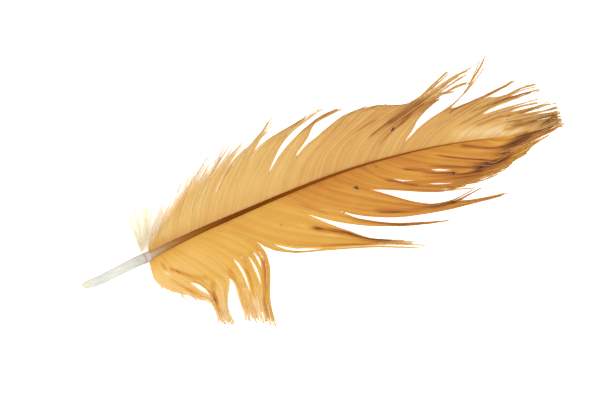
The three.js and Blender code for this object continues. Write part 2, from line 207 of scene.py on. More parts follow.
LOWER_LOCKS: tuple[Lock, ...] = (
    Lock((220, 325), 156, (170, 273), (191, 283), blunt=1.3,
        near=((152.3, 271.5), (155, 279), (160.5, 285.3), (172, 290.8), (186, 294.8), (198, 299),
        (208, 302), (213.5, 307.5), (216.7, 316)),
        far=((192.5, 283.8), (197, 287), (201.6, 290.3), (206, 292.8), (210, 295), (214, 300.5),
        (217.5, 310))),
    Lock((226, 326.5), 163, (187, 266), (214, 290), blunt=1.9,
        near=((196, 282.8), (201.5, 285.8), (206, 289.6), (208.8, 293.4), (212.3, 299), (216.5, 308)),
        far=((218.5, 300), (222.5, 311))),
    Lock((233, 326), 172, (200, 259), (228.6, 277), lift=0.6, blunt=1.9,
        near=((218.7, 300), (222.8, 311)),
        far=((229.9, 284), (228.3, 296), (228.3, 308), (230.6, 317))),
    Lock((248, 323), 179, (210, 256), (242.5, 286), blunt=2.4,
        near=((234.4, 283.5), (236.8, 291.5), (239, 299.5), (241, 307), (243.8, 314.5)),
        far=((244.8, 299), (249, 311))),
    Lock((258, 325), 187, (211, 245), (231.3, 257), blunt=1.6,
        near=((244.5, 299), (248.7, 311)),
        far=((234.9, 261.6), (239.6, 268.6), (243.6, 276.2), (247, 284.4), (250.4, 294.5), (253, 302),
        (256.6, 311.5))),
    Lock((265, 325), 196, (225, 243), (247.8, 255.6), lift=0.5, blunt=1.8,
        near=((237.2, 260.8), (241.2, 266), (244.6, 272), (247, 278), (248.8, 285), (250.2, 293),
        (252, 301), (255.4, 310), (259.5, 317)),
        far=((250.2, 259.8), (253.2, 265.6), (256.1, 272.3), (258.6, 278.3), (261.9, 288.5), (263.6, 299),
        (265.6, 310))),
    Lock((268.5, 327), 203, (233, 240), (253.2, 252), blunt=1.2,
        near=((250.4, 257.3), (252.8, 260.8), (256.5, 266.8), (259, 273.3), (260.6, 280), (261.6, 289),
        (262.5, 299), (265, 310)),
        far=((255, 255.1), (257.4, 259.3), (259.8, 263.5), (262.6, 270), (264.5, 279), (265.9, 290),
        (266.9, 301), (268.4, 312))),
    Lock((271.5, 328), 207, (238, 235), (261.5, 252.5), blunt=1.2,
        near=((255.8, 253.8), (259, 258.6), (261, 263.6), (261.8, 270), (262.8, 279), (263.9, 290),
        (265, 301), (267.8, 312)),
        far=((264.7, 260), (266.3, 270), (266.9, 285), (267, 299), (269, 312))),
    Lock((276, 328), 211, (235, 232), (255.3, 240.4), blunt=1.5,
        near=((264.9, 260), (266.5, 270), (267.1, 285), (267.2, 299), (269.3, 312)),
        far=((261.7, 246.5), (266.2, 252.6), (268.9, 260), (270.6, 270), (270.3, 282), (270, 294),
        (271.2, 306), (274, 317.5))),
    Lock((423, 248), 217, (243, 233.5), (270.5, 242.5),
        near=((262, 244.7), (275, 250.3), (286, 252.1), (297, 252.8), (320, 250.8), (342, 249),
        (375, 247.2), (400, 247.8)),
        far=((283, 248.4), (297, 250.7), (310, 250.1), (319, 248.9), (345, 247.4), (375, 245.6),
        (400, 246.3))),
    Lock((430, 245.4), 231, (275, 235), (372, 243),
        near=((283, 245.9), (297, 248.1), (310, 248), (319, 248.4), (345, 247), (375, 245.2),
        (400, 244.8)),
        far=((400, 243.2), (415, 244))),
    Lock((415, 242.8), 247, (285, 224), (368, 239.5), lift=0.6,
        near=((390, 242.9), (402, 242.9)),
        far=((385, 241.4), (400, 242))),
    Lock((406, 240.3), 262, (284, 208), (304, 213),
        near=((385, 241.2), (396, 241.2)),
        far=((310, 215.6), (323.5, 221.3), (337.5, 226.8), (350, 230.8), (360, 234.8), (370, 237.6),
        (385, 238.8), (397, 239.4))),
    Lock((440, 222.8), 273, (305, 209), (395, 224.5),
        near=((335, 221.2), (366, 226), (383, 227), (400, 226.9), (412, 226), (425, 224.4))),
    Lock((452, 220.2), 285, (312, 206.5), (341, 211), lift=0.8,
        far=((346, 213.9), (354, 217), (360, 218.8), (375, 221.3), (392, 222.7), (420, 221.7))),
    Lock((498, 197.6), 300, (342, 202), (455, 206),
        course=((400, 208.5), (430, 208.5)),
        near=((350, 213.4), (360, 215.5), (383, 217.3), (400, 217.2), (430, 213.4), (450, 209.8),
        (478, 203))),
    Lock((508, 193.4), 316, (352, 194), (460, 200.8), lift=1,
        course=((380, 200), (400, 203.8), (420, 206.2), (440, 206.4)),
        far=((472, 199.3), (487, 197.4), (499, 195))),
    Lock((482, 188.2), 332, (350, 183), (368, 189), lift=1.5, blunt=0.35,
        near=((466, 197.4), (474, 193.3)),
        far=((390, 195), (405, 199.4), (421, 202.8), (437, 204), (450, 202.4), (460, 198.9),
        (470, 194.2))),
    Lock((480, 182.7), 345, (376, 183), (450, 187), blunt=0.3,
        near=((385, 189.8), (400, 190.7), (420, 191.8), (435, 191.9), (446, 190.8), (455, 188.2),
        (466, 186)),
        far=((463, 184.5), (472, 183.3))),
    Lock((501, 171.8), 355, (387, 181), (424, 183.5), blunt=0.3,
        near=((463, 184.7), (474, 183.4), (484, 180.8), (492.5, 177.1)),
        far=((436, 184.6), (448, 184), (462, 181.5), (475, 178.5), (488, 175))),
    Lock((516, 160.6), 364, (376, 174.8), (389, 178), blunt=0.3,
        near=((436, 183), (448, 182.9), (462, 181.2), (475, 178.2), (488, 174.8), (501, 171.6),
        (509, 166)),
        far=((401, 181.6), (411, 180.9), (440, 178.8), (460, 176.3), (475, 174), (490, 171), (501, 168),
        (509, 164.2))),
    Lock((527.5, 151.9), 384, (405, 166), (427, 169.3), blunt=0.3,
        near=((401, 180), (411, 180.6), (440, 178.8), (460, 177), (475, 174.9), (490, 171.9), (501, 168.8),
        (509, 164.9), (516, 160.3), (521.7, 156.4)),
        far=((434, 171), (442, 171), (450, 170.4), (465, 169.9), (480, 168.3), (496, 165.1), (505, 162.5),
        (513, 159), (520, 156))),
    Lock((541, 139), 398, (432, 162), (480, 167), blunt=0.3,
        near=((434, 169.2), (442, 169.2), (450, 170), (465, 170.6), (480, 169.2), (496, 166.2),
        (505, 163.6), (513, 160.2), (520, 157), (527.5, 151.5), (534.3, 144.5)),
        far=((496, 161.8), (510.3, 156), (518, 152.5), (525.6, 148.6), (533, 144.2))),
    Lock((552.5, 131.9), 412, (446, 157), (492, 160.8), blunt=0.3,
        near=((488, 166), (496, 163), (510.3, 157.4), (518, 154), (525.6, 150.1), (533, 145.7),
        (541, 140.3), (546.4, 137)),
        far=((503, 156.5), (514, 150.8), (523, 145.5), (533, 140), (543, 135.3))),
    Lock((565, 122.9), 430, (462, 152), (508, 151.8), blunt=0.35,
        near=((503, 157.5), (514, 152), (523, 146.8), (533, 141.3), (543, 136.3), (552.5, 132),
        (558, 128.6)),
        far=((518, 145.8), (528, 139.8), (538, 134.3), (548, 129.4), (557, 125.4))),
    Lock((561, 119.8), 450, (480, 148), (522, 141.8),
        near=((518, 147.2), (528, 141.2), (538, 135.6), (548, 130.5), (555, 125.6)),
        far=((533, 134.8), (543, 129), (552, 124))),
    Lock((560, 116.3), 471, (493, 144), (527, 136),
        near=((533, 136.2), (543, 130.4), (552, 124.8)),
        far=((536, 130.3), (546, 125), (553, 120.5))),
    Lock((558, 113), near=((536, 131.6), (546, 126.2), (553, 121))),
)
# Painted shade along folds and thick bundles, and painted light along gaps where one layer is missing
UPPER_LIGHT_AND_SHADE: tuple[PaintedStreak, ...] = tuple(PaintedStreak(*row) for row in (
    (((371, 136), (379.5, 129.3), (386, 124.5), (391, 121.5)), 1.5, 0.34),
    (((391, 121.5), (396.5, 117.7), (402.6, 113.8), (408, 110), (414.2, 106.2), (418, 104)), 3.5, 0.42),
    (((418, 104), (422, 101.2), (426, 98.5)), 2.2, 0.26),
    (((378, 136), (388, 128), (397, 121), (405, 115)), 3.2, 0.11),
    (((381, 142), (387, 135.5), (392.5, 130), (399, 124.5), (404, 119.5), (411, 114)), 1.2, 0.24),
    (((426, 98.5), (434, 93), (443, 87.5), (452, 81.5)), 1.9, 0.12),
    (((400, 126), (412, 113), (424, 105), (438, 98)), 1.6, 0.18),
    (((358, 131.5), (367, 125), (377, 120.5)), 1.2, 0.18),
    (((268, 139), (280, 132), (290, 127), (303, 120), (312, 113)), 1.5, 0.2),
    (((292, 131), (302, 123), (314, 114.5), (324, 108)), 1.2, -0.2),
    (((300, 132), (310, 125), (320, 118), (330, 112), (342, 107)), 1.5, 0.28),
    (((226, 175), (228, 171.5), (231, 167.5)), 1.2, 0.16),
    (((219, 190), (224, 178), (231, 165), (240, 152)), 1.0, 0.1),
    (((470, 101), (485, 95.5), (500, 88.5), (512, 82)), 1.3, 0.18),
    (((495, 103), (502, 100), (507, 98), (516, 95.7), (529, 91.5)), 1.3, 0.3),
    (((470, 112), (478, 109), (487, 105.7), (495, 103)), 1.2, 0.24),
    (((470, 124), (485, 118), (500, 110.5), (515, 106)), 1.1, 0.16),
    (((476, 126), (489, 120.7), (498.6, 117), (503.6, 116.4), (510.7, 115.7)), 1.3, 0.32),
    (((505, 121.4), (512, 121.4), (520, 121.5)), 1.2, 0.26),
    (((520, 113), (532, 110.5), (543, 108), (550, 106)), 2.0, 0.26),
    (((516, 121.5), (528, 119), (541, 114.5), (553, 109)), 1.3, 0.26),
    (((513.6, 100), (525, 97.5), (535.7, 96.4)), 1.0, -0.16),
    (((512, 126), (525, 124.5), (540, 119), (552, 115)), 1.6, 0.3),
    (((503, 130), (505.7, 130), (511.4, 129), (516, 128)), 1.2, 0.26),
    (((503.6, 120), (507, 119.3), (510.7, 118.6)), 1.1, -0.34),
    (((533.6, 117), (537, 115.7)), 1.0, -0.34),
    (((543, 114), (547, 111.6)), 1.0, -0.3),
    (((455, 134), (470, 133), (484, 132), (500, 131)), 5.0, -0.16),
    (((503, 134), (511, 132.5), (520, 129)), 2.4, -0.18),
    (((516, 138), (526, 134.5), (537, 129), (545, 124.5), (552, 120.5)), 2.4, 0.22),
    (((151, 236), (155, 222), (161, 209), (168, 198)), 4.0, -0.12),
    (((148, 247), (155, 242.5), (163, 239)), 3.6, 0.12),
    (((193, 178), (197, 176), (201, 174)), 1.6, -0.2),
))
LOWER_LIGHT_AND_SHADE: tuple[PaintedStreak, ...] = tuple(PaintedStreak(*row) for row in (
    (((163.8, 265), (166.7, 269.2), (173.3, 270), (180.8, 271.7), (186.7, 274.2), (193.3, 276.7),
        (201.7, 277.5), (207.5, 277.5)), 1.5, 0.28),
    (((207.5, 277.5), (214, 276.6), (221, 274.6)), 1.1, 0.1),
    (((198.3, 278.3), (205, 281.7), (211.7, 282.5)), 1.2, 0.12),
    (((195, 280), (200, 283.3), (206.7, 289.2), (210.8, 294.2)), 1.2, 0.16),
    (((213.4, 284), (213.6, 289), (214.4, 294), (216, 300)), 2.4, 0.36),
    (((215.5, 299), (218.3, 308.3), (220, 316.7)), 2.4, 0.2),
    (((165, 271), (170, 274.2)), 1.0, -0.26),
    (((172.5, 279.2), (182.5, 285.8), (191.7, 289.2), (198.3, 292.5)), 1.2, 0.16),
    (((186.7, 289.2), (195, 294.2), (205, 298.3), (211.7, 299.2)), 1.4, 0.18),
    (((246, 268.3), (249.6, 276.7), (251.9, 285), (253.6, 295.8)), 1.4, 0.28),
    (((230, 270), (236, 281), (240, 293), (243, 305)), 2.2, 0.16),
    (((252, 262), (257, 270), (260, 280), (261, 290)), 1.0, 0.14),
    (((263, 258), (265, 271.7), (265.4, 288.3), (264.2, 300), (265.8, 308.3), (269.2, 316.7)), 1.8, 0.26),
    (((258, 308), (262, 317)), 1.6, -0.16),
    (((240, 287), (246, 300), (248, 312)), 1.4, 0.12),
    (((315, 227.9), (322.5, 229.2), (333.3, 230.8), (341.7, 232), (348.3, 232.9), (355, 235.4),
        (362.5, 237.9), (370.8, 239.6), (380, 240.4), (392, 241.2)), 2.2, 0.31),
    (((315.5, 228.3), (320, 228.6)), 1.6, 0.3),
    (((327.5, 234.3), (335.8, 235.6)), 0.9, -0.2),
    (((298, 224), (306, 226.5)), 0.9, -0.18),
    (((325, 245.8), (335, 245), (352, 244.2), (375, 243.3)), 1.4, 0.24),
    (((285, 249), (300, 251)), 1.2, 0.06),
    (((352, 219.5), (366, 222), (385, 224), (400, 224.5), (425, 223)), 1.3, 0.26),
    (((304, 206), (315, 209), (325, 213)), 1.2, 0.16),
    (((322, 209), (335, 210.5), (345, 213)), 1.0, -0.16),
    (((376, 209.3), (390, 210), (402, 210.8), (412, 210.2), (428, 207.8), (440, 205.2),
        (455, 201.8)), 1.8, 0.18),
    (((378, 212.7), (388, 212.5), (398, 212)), 1.0, 0.2),
    (((330, 188), (350, 192.5), (375, 197.5), (397, 202)), 1.0, -0.12),
    (((446, 204), (456, 202), (463, 200)), 1.8, 0.08),
    (((463, 202), (480, 199.5), (498, 196)), 1.4, 0.06),
    (((384, 180.5), (395, 181.5), (404, 183.7), (416, 185)), 1.1, 0.28),
    (((405, 169), (422, 170), (432, 172.5), (446, 173.5), (466, 173.5), (482, 170)), 1.5, 0.28),
    (((455.8, 172.8), (464, 171.6), (470, 170.4)), 0.9, -0.24),
    (((432, 166.5), (448, 167), (465, 167.5), (478, 166.3)), 1.2, 0.24),
    (((440, 156), (455, 158), (470, 159.5), (485, 159.5)), 1.4, 0.26),
    (((462, 146), (478, 147.5), (492, 149), (505, 148)), 1.7, 0.26),
    (((487, 141.5), (494, 143), (501, 143.5)), 1.0, -0.2),
    (((425, 175), (450, 177), (468, 176.5), (480, 174)), 2.4, 0.12),
    (((478, 167.5), (493, 163.6), (503.6, 157.9), (507, 152), (512, 145.7), (518, 140),
        (525, 136.4)), 4.4, 0.42),
    (((520, 139), (529.3, 133), (535, 130), (539.3, 129.3), (543.6, 125.7), (550, 122.5)), 2.6, 0.34),
    (((496, 154), (506, 147), (516, 142)), 3.0, 0.16),
    (((516, 144), (519, 142), (526, 136), (529, 134.6)), 0.9, -0.24),
    (((457.6, 188.8), (475, 183), (490, 176), (504.7, 167.6), (520, 155), (532, 146),
        (545, 136)), 2.4, -0.2),
))


class Side(Enum):
    """The two vanes: the side of the shaft that each grows on."""

    UPPER = 1
    LOWER = -1


class Slot(Enum):
    """The record's material slots."""

    VANE = "vane"
    QUILL = "quill"
    DOWN = "down"
    SPECK = "speck"


def rounded(points: Array, per_span: int = SPAN_STEPS) -> Array:
    """A smooth line through points, with centripetal spacing.

    Args:
        points: The points to pass, one a row.
        per_span: Samples between two of them.

    Returns:
        The sampled line, one point a row.
    """
    ends = np.vstack([2 * points[0] - points[1], points, 2 * points[-1] - points[-2]])
    share = np.linspace(0, 1, per_span, endpoint=False)[:, None]
    spans = []
    for before, start, stop, after in zip(ends, ends[1:], ends[2:], ends[3:]):
        pairs = ((before, start), (start, stop), (stop, after))
        gaps = [max(math.dist(a, b) ** 0.5, NO_LENGTH) for a, b in pairs]
        first = (start - before) / gaps[0] - (stop - before) / (gaps[0] + gaps[1]) + (stop - start) / gaps[1]
        last = (stop - start) / gaps[1] - (after - start) / (gaps[1] + gaps[2]) + (after - stop) / gaps[2]
        first, last = first * gaps[1], last * gaps[1]
        cubic = 2 * start - 2 * stop + first + last
        square = -3 * start + 3 * stop - 2 * first - last
        spans.append(cubic * share**3 + square * share**2 + first * share + start)
    return np.vstack([*spans, points[-1:]])


def along(line: Array, shares: Array) -> Array:
    """The points of a line at some shares of its length.

    Args:
        line: Its points, one a row.
        shares: Numbers from 0 to 1.

    Returns:
        One point for each share.
    """
    reach = reaches(line)
    return np.stack([np.interp(shares * reach[-1], reach, column) for column in line.T], axis=1)


def smoothstep(low: "float | Array", high: float, value: Array) -> Array:
    """Rises smoothly from 0 at low to 1 at high."""
    share = np.clip((value - low) / (high - low), 0, 1)
    return share * share * (3 - 2 * share)


def distance_to(line: Array, points: Array) -> Array:
    """The distance from each point to the nearest part of a line.

    Args:
        line: The line's points, one a row.
        points: The points to measure, one a row.

    Returns:
        One distance for each point.
    """
    nearest = np.full(len(points), np.inf)
    for start, stop in zip(line, line[1:]):
        run = stop - start
        share = np.clip((points - start) @ run / (run @ run), 0, 1)
        nearest = np.minimum(nearest, np.linalg.norm(points - start - share[:, None] * run, axis=1))
    return nearest


def reaches(line: Array) -> Array:
    """How far along a line each of its points is."""
    return np.concatenate([[0.0], np.cumsum(np.linalg.norm(np.diff(line, axis=0), axis=1))])


def unit(vectors: Array) -> Array:
    """Vectors made one metre long."""
    return vectors / np.maximum(np.linalg.norm(vectors, axis=-1, keepdims=True), NO_LENGTH)


def leftwards(runs: Array) -> Array:
    """The direction on the plan to the left of each run."""
    return np.stack([-runs[..., 1], runs[..., 0]], axis=-1)


def looked_up(table: Points, roots: Array) -> Array:
    """A table's values at the roots' traced x, blended between its rows."""
    return np.interp(roots, *np.array(table).T)


def between(near: Array, far: Array, share: Array, place: Array) -> Array:
    """Points between the two edges of a lock.

    Args:
        near: Samples along one edge.
        far: As many along the other.
        share: How far along the edges each point is.
        place: Where it lies from the near edge, 0, to the far one, 1.

    Returns:
        The points.
    """
    grid = np.linspace(0, 1, len(near))
    points = np.zeros((*share.shape, 3))
    for axis in range(3):
        low, high = np.interp(share, grid, near[:, axis]), np.interp(share, grid, far[:, axis])
        points[..., axis] = low + (high - low) * place
    return points


def waves(share: Array, turns: Range, random: Random) -> Array:
    """A sine wave along each strand, with its own length and start.

    Args:
        share: How far each point is along its strand.
        turns: The least and the most that a wave turns from foot to end, in radians.
        random: The source of the unevenness.

    Returns:
        A number from -1 to 1 for each point.
    """
    each = (len(share), 1)
    return np.sin(share * random.uniform(*turns, each) + random.uniform(0, WAVE_STARTS, each))


def uneven(count: int, width: int, random: Random) -> Array:
    """A run of random numbers around 0 whose neighbours are alike.

    Args:
        count: How many.
        width: Over how many neighbours they change.
        random: Their source.

    Returns:
        The numbers, with a spread of 1.
    """
    window = np.hanning(2 * width + 1)
    run = np.convolve(random.normal(size=count + 2 * width), window, "valid")
    return run / run.std()


def layered(count: int, layers: tuple[tuple[int, float], ...], random: Random) -> Array:
    """Unevenness of several widths and strengths in one."""
    return sum(uneven(count, width, random) * strength for width, strength in layers)


def curled(
    feet: Array, ahead: Array, angle: Array, curl: Array, length: Array, rows: int
) -> Array:
    """Short hairs that leave their feet at an angle and curl sideways.

    Args:
        feet: Where each starts.
        ahead: The direction that the angle is measured from.
        angle: The angle of leaving, in radians.
        curl: How far the direction turns on the way.
        length: Each hair's length.
        rows: Points on a hair.

    Returns:
        Their paths.
    """
    share = np.linspace(0, 1, rows)
    heading = np.arctan2(ahead[:, 1], ahead[:, 0])[:, None] + angle[:, None] + curl[:, None] * share
    step = length[:, None] / (rows - 1)
    moves = np.stack([np.cos(heading) * step, np.sin(heading) * step, np.zeros_like(heading)], axis=-1)
    moves[:, 0] = 0
    return feet[:, None, :] + np.cumsum(moves, axis=1)


def keep_number(mesh: bpy.types.Mesh, name: str, values: Array) -> None:
    """Keeps one number for each corner point of a mesh."""
    attribute = mesh.attributes.new(name, "FLOAT", "POINT")
    attribute.data.foreach_set("value", values.astype(np.float32))


@dataclass(frozen=True)
class Plan:
    """The feather's real size and how it lies: it turns traced points into places in metres."""

    length: float = 150 * MM
    shaft_rise: float = 7.5 * MM
    butt_radius: float = 0.95 * MM
    centre_along: float = 75.1 * MM
    centre_across: float = -0.56 * MM
    sheet: float = 0.5 * MM
    floor_reach: float = 0.86
    shaft_steps: int = 16

    @property
    def scale(self) -> float:
        """Metres for one traced pixel."""
        return self.length / math.dist(BUTT, TIP)

    @property
    def tilt(self) -> float:
        """The angle by which the feather rises to the right in the traced picture."""
        return math.atan2(BUTT[1] - TIP[1], TIP[0] - BUTT[0])

    def place(self, points: Points) -> Array:
        """Traced points on the plan.

        Args:
            points: Pixels of the traced picture.

        Returns:
            Their x and y in the frame, one a row.
        """
        traced = np.array(points, float).reshape(-1, 2)
        right = (traced[:, 0] - BUTT[0]) * self.scale
        up = (BUTT[1] - traced[:, 1]) * self.scale
        x = right * math.cos(self.tilt) + up * math.sin(self.tilt) - self.centre_along
        y = up * math.cos(self.tilt) - right * math.sin(self.tilt) - self.centre_across
        return np.stack([x, y], axis=1)

    def traced(self, places: Array) -> Array:
        """The traced points of some places, the reverse of place.

        Args:
            places: Places in the frame, of which x and y are used.

        Returns:
            Their traced points.
        """
        along_chord = places[..., 0] + self.centre_along
        across = places[..., 1] + self.centre_across
        right = along_chord * math.cos(self.tilt) - across * math.sin(self.tilt)
        up = along_chord * math.sin(self.tilt) + across * math.cos(self.tilt)
        return np.stack([BUTT[0] + right / self.scale, BUTT[1] - up / self.scale], axis=-1)

    def shaft(self) -> Array:
        """The shaft's middle line on the plan."""
        return rounded(self.place(SHAFT_LINE), self.shaft_steps)

    def shaft_height(self, x: Array) -> Array:
        """The height of the shaft's middle over the table, a long low arch."""
        share = np.clip((x + self.centre_along) / self.length, 0, 1)
        return self.butt_radius + self.shaft_rise * np.sin(math.pi * share)

    def shaft_share(self, root: float) -> float:
        """The share of the shaft's length at a traced x.

        Args:
            root: The traced x.

        Returns:
            A number from 0 at the butt to 1 at the tip.
        """
        line = self.shaft()
        reach = reaches(line)
        return float(np.interp(root, self.traced(line)[:, 0], reach / reach[-1]))


@dataclass
class Strands:
    """Many thin closed strands of the same number of points, kept as arrays."""

    paths: Array
    widths: Array
    thickness: Array
    shades: Array
    leans: Array | None = None
    above: float = 0.65

    @classmethod
    def tapered(
        cls, paths: Array, width: "Array | float", end: float, thickness: float, shades: Array
    ) -> "Strands":
        """Hairs that thin out evenly.

        Args:
            paths: Their points.
            width: Their width at the foot.
            end: The share of it that is left at the end.
            thickness: Their thickness.
            shades: How dark they are.

        Returns:
            The strands.
        """
        shape = paths.shape[:2]
        widths = width * np.linspace(1, end, shape[1]) + np.zeros(shape)
        return cls(paths, widths, np.full(shape, thickness), shades + np.zeros(shape))

    def mesh(self, name: str) -> Piece:
        """One object of all the strands, each a closed kite-shaped rod.

        Args:
            name: The object's name.

        Returns:
            The object, with the attributes shade and ridge and a UV map across and along each strand.
        """
        corners, faces = self._corners(), self._faces()
        mesh = bpy.data.meshes.new(name)
        mesh.vertices.add(corners.size // 3)
        mesh.vertices.foreach_set("co", corners.reshape(-1).astype(np.float32))
        mesh.loops.add(faces.size)
        mesh.loops.foreach_set("vertex_index", faces.reshape(-1).astype(np.int32))
        mesh.polygons.add(len(faces))
        mesh.polygons.foreach_set("loop_start", np.arange(0, faces.size, KITE, dtype=np.int32))
        mesh.update(calc_edges=True)
        self._paint(mesh, faces)
        piece = bpy.data.objects.new(name, mesh)
        bpy.context.scene.collection.objects.link(piece)
        return piece

    def _corners(self) -> Array:
        """The corners of the kite at each point of each strand.

        Returns:
            Its right, top, left and bottom corner, strand by strand and point by point.
        """
        runs = unit(np.gradient(self.paths, axis=1))
        sideways = unit(np.cross(runs, np.array([0.0, 0.0, 1.0])))
        if self.leans is not None:
            sideways[..., 2] = self.leans
            sideways = unit(sideways - (sideways * runs).sum(-1, keepdims=True) * runs)
        upwards = np.cross(sideways, runs) * self.thickness[..., None]
        half = sideways * self.widths[..., None] / 2
        rings = [half, upwards * self.above, -half, -upwards * (1 - self.above)]
        return np.stack([self.paths + ring for ring in rings], axis=2)

    def _faces(self) -> Array:
        """The quads of all strands.

        Returns:
            The corners' numbers for the sides, the first ends and the last ends.
        """
        count, rows = self.paths.shape[:2]
        index = np.arange(count * rows * KITE).reshape(count, rows, KITE)
        low, up = index[:, :-1, :], index[:, 1:, :]
        turned = (np.arange(KITE) + 1) % KITE
        sides = np.stack([low, low[..., turned], up[..., turned], up], axis=-1)
        return np.concatenate([sides.reshape(-1, KITE), index[:, 0, ::-1], index[:, -1, :]])

    def _paint(self, mesh: bpy.types.Mesh, faces: Array) -> None:
        """Writes the attributes and the UV map.

        Args:
            mesh: The strands' mesh.
            faces: Its quads.
        """
        count, rows = self.paths.shape[:2]
        keep_number(mesh, "shade", np.repeat(self.shades.reshape(-1), KITE))
        keep_number(mesh, "ridge_light_shade", np.tile(RIDGE_AT, count * rows))
        steps = np.linalg.norm(np.diff(self.paths, axis=1), axis=2)
        reach = np.concatenate([np.zeros((count, 1)), np.cumsum(steps, axis=1)], axis=1) / MM
        places = np.stack([np.tile(ACROSS_AT, count * rows), np.repeat(reach.reshape(-1), KITE)], axis=1)
        layer = mesh.uv_layers.new(name="barb")
        layer.data.foreach_set("uv", places[faces.reshape(-1)].reshape(-1).astype(np.float32))


@dataclass(frozen=True)
class Parting:
    """The line between two locks, up to where it opens."""

    start: Array
    height: float
    trunk: Array | None = None
    lead: Array | None = None
    split: Array | None = None
    share: float = 0.0


@dataclass(frozen=True)
class Habit:
    """How a vane's barbs change from butt to tip: rows of a root's traced x and a value there.

    tones is the shade of the closed vane. fades is what is added to it at the barbs' ends: mostly painted
    light, paler where thin ends let the table's light through, and a little darker near the feather's tip.
    feet is painted shade added at the shaft. frays is how far bundles come apart, thins the share of their
    width that barbs keep where they are loose, and wisps the share that they lose at their ends. grains is
    how uneven the shade is, and rags how unevenly long the barbs are.
    """

    tones: Points
    frays: Points
    thins: Points
    fades: Points
    wisps: Points
    grains: Points
    feet: Points
    rags: Points


@dataclass(frozen=True)
class Sway:
    """How loose barbs wander sideways, bundle by bundle, a little on their own, and here and there far."""

    together: float = 0.7 * MM
    alone: float = 0.22 * MM
    far: float = 0.9 * MM
    far_share: float = 0.04
    turns: Range = (4.0, 8.0)
    over: Range = (0.45, 1.0)

    def bend(
        self, paths: Array, share: Array, bundle: Array, fray: Array, random: Random
    ) -> None:
        """Bends the barbs of one lock.

        Args:
            paths: The barbs, changed in place.
            share: How far each of their points is along the lock.
            bundle: The bundle of each barb.
            fray: How far bundles come apart, for each barb.
            random: The source of the unevenness.
        """
        sideways = leftwards(unit(paths[:, -1, :2] - paths[:, 0, :2]))[:, None, :]
        together = random.normal(0, self.together, bundle.max() + 1)[bundle] * fray[:, 0]
        alone = random.normal(0, self.alone, len(bundle)) * fray[:, 0]
        goes_far = random.random(len(bundle)) < self.far_share
        far = np.where(goes_far, random.normal(0, self.far, len(bundle)), 0)
        wave = waves(share, self.turns, random)
        free = smoothstep(*self.over, share)
        offset = (together[:, None] + alone[:, None] * wave) * free + far[:, None] * free**2
        paths[..., :2] += sideways * offset[..., None]


@dataclass(frozen=True)
class Shading:
    """How much a vane's shade differs from barb to barb, and where along a barb it changes."""

    # Over how many barbs the shade changes, and how strongly
    grains: tuple[tuple[int, float], ...] = ((2, 0.048), (5, 0.028), (14, 0.016))
    # Over how many barbs a streak's painted light and shade varies, and how strongly
    streaks: tuple[tuple[int, float], ...] = ((1, 0.7), (3, 0.5))
    grain_at_root: float = 0.35
    # Painted shade where barbs lie crowded: how strong, over what range of crowding, and from where along a
    # barb
    crowded: float = 0.04
    crowding: Range = (-0.6, 2.2)
    crowd_shade_over: Range = (0.25, 0.8)
    # Over what share of a barb the painted shade at the shaft fades out and the painted light at the ends
    # comes in
    shaft_shade_over: Range = (0.0, 0.24)
    end_over: Range = (0.45, 0.95)
    # How much a streak's painted light and shade may vary for its width, and at most
    streak_by_width: float = 0.25
    most_streak: float = 0.45


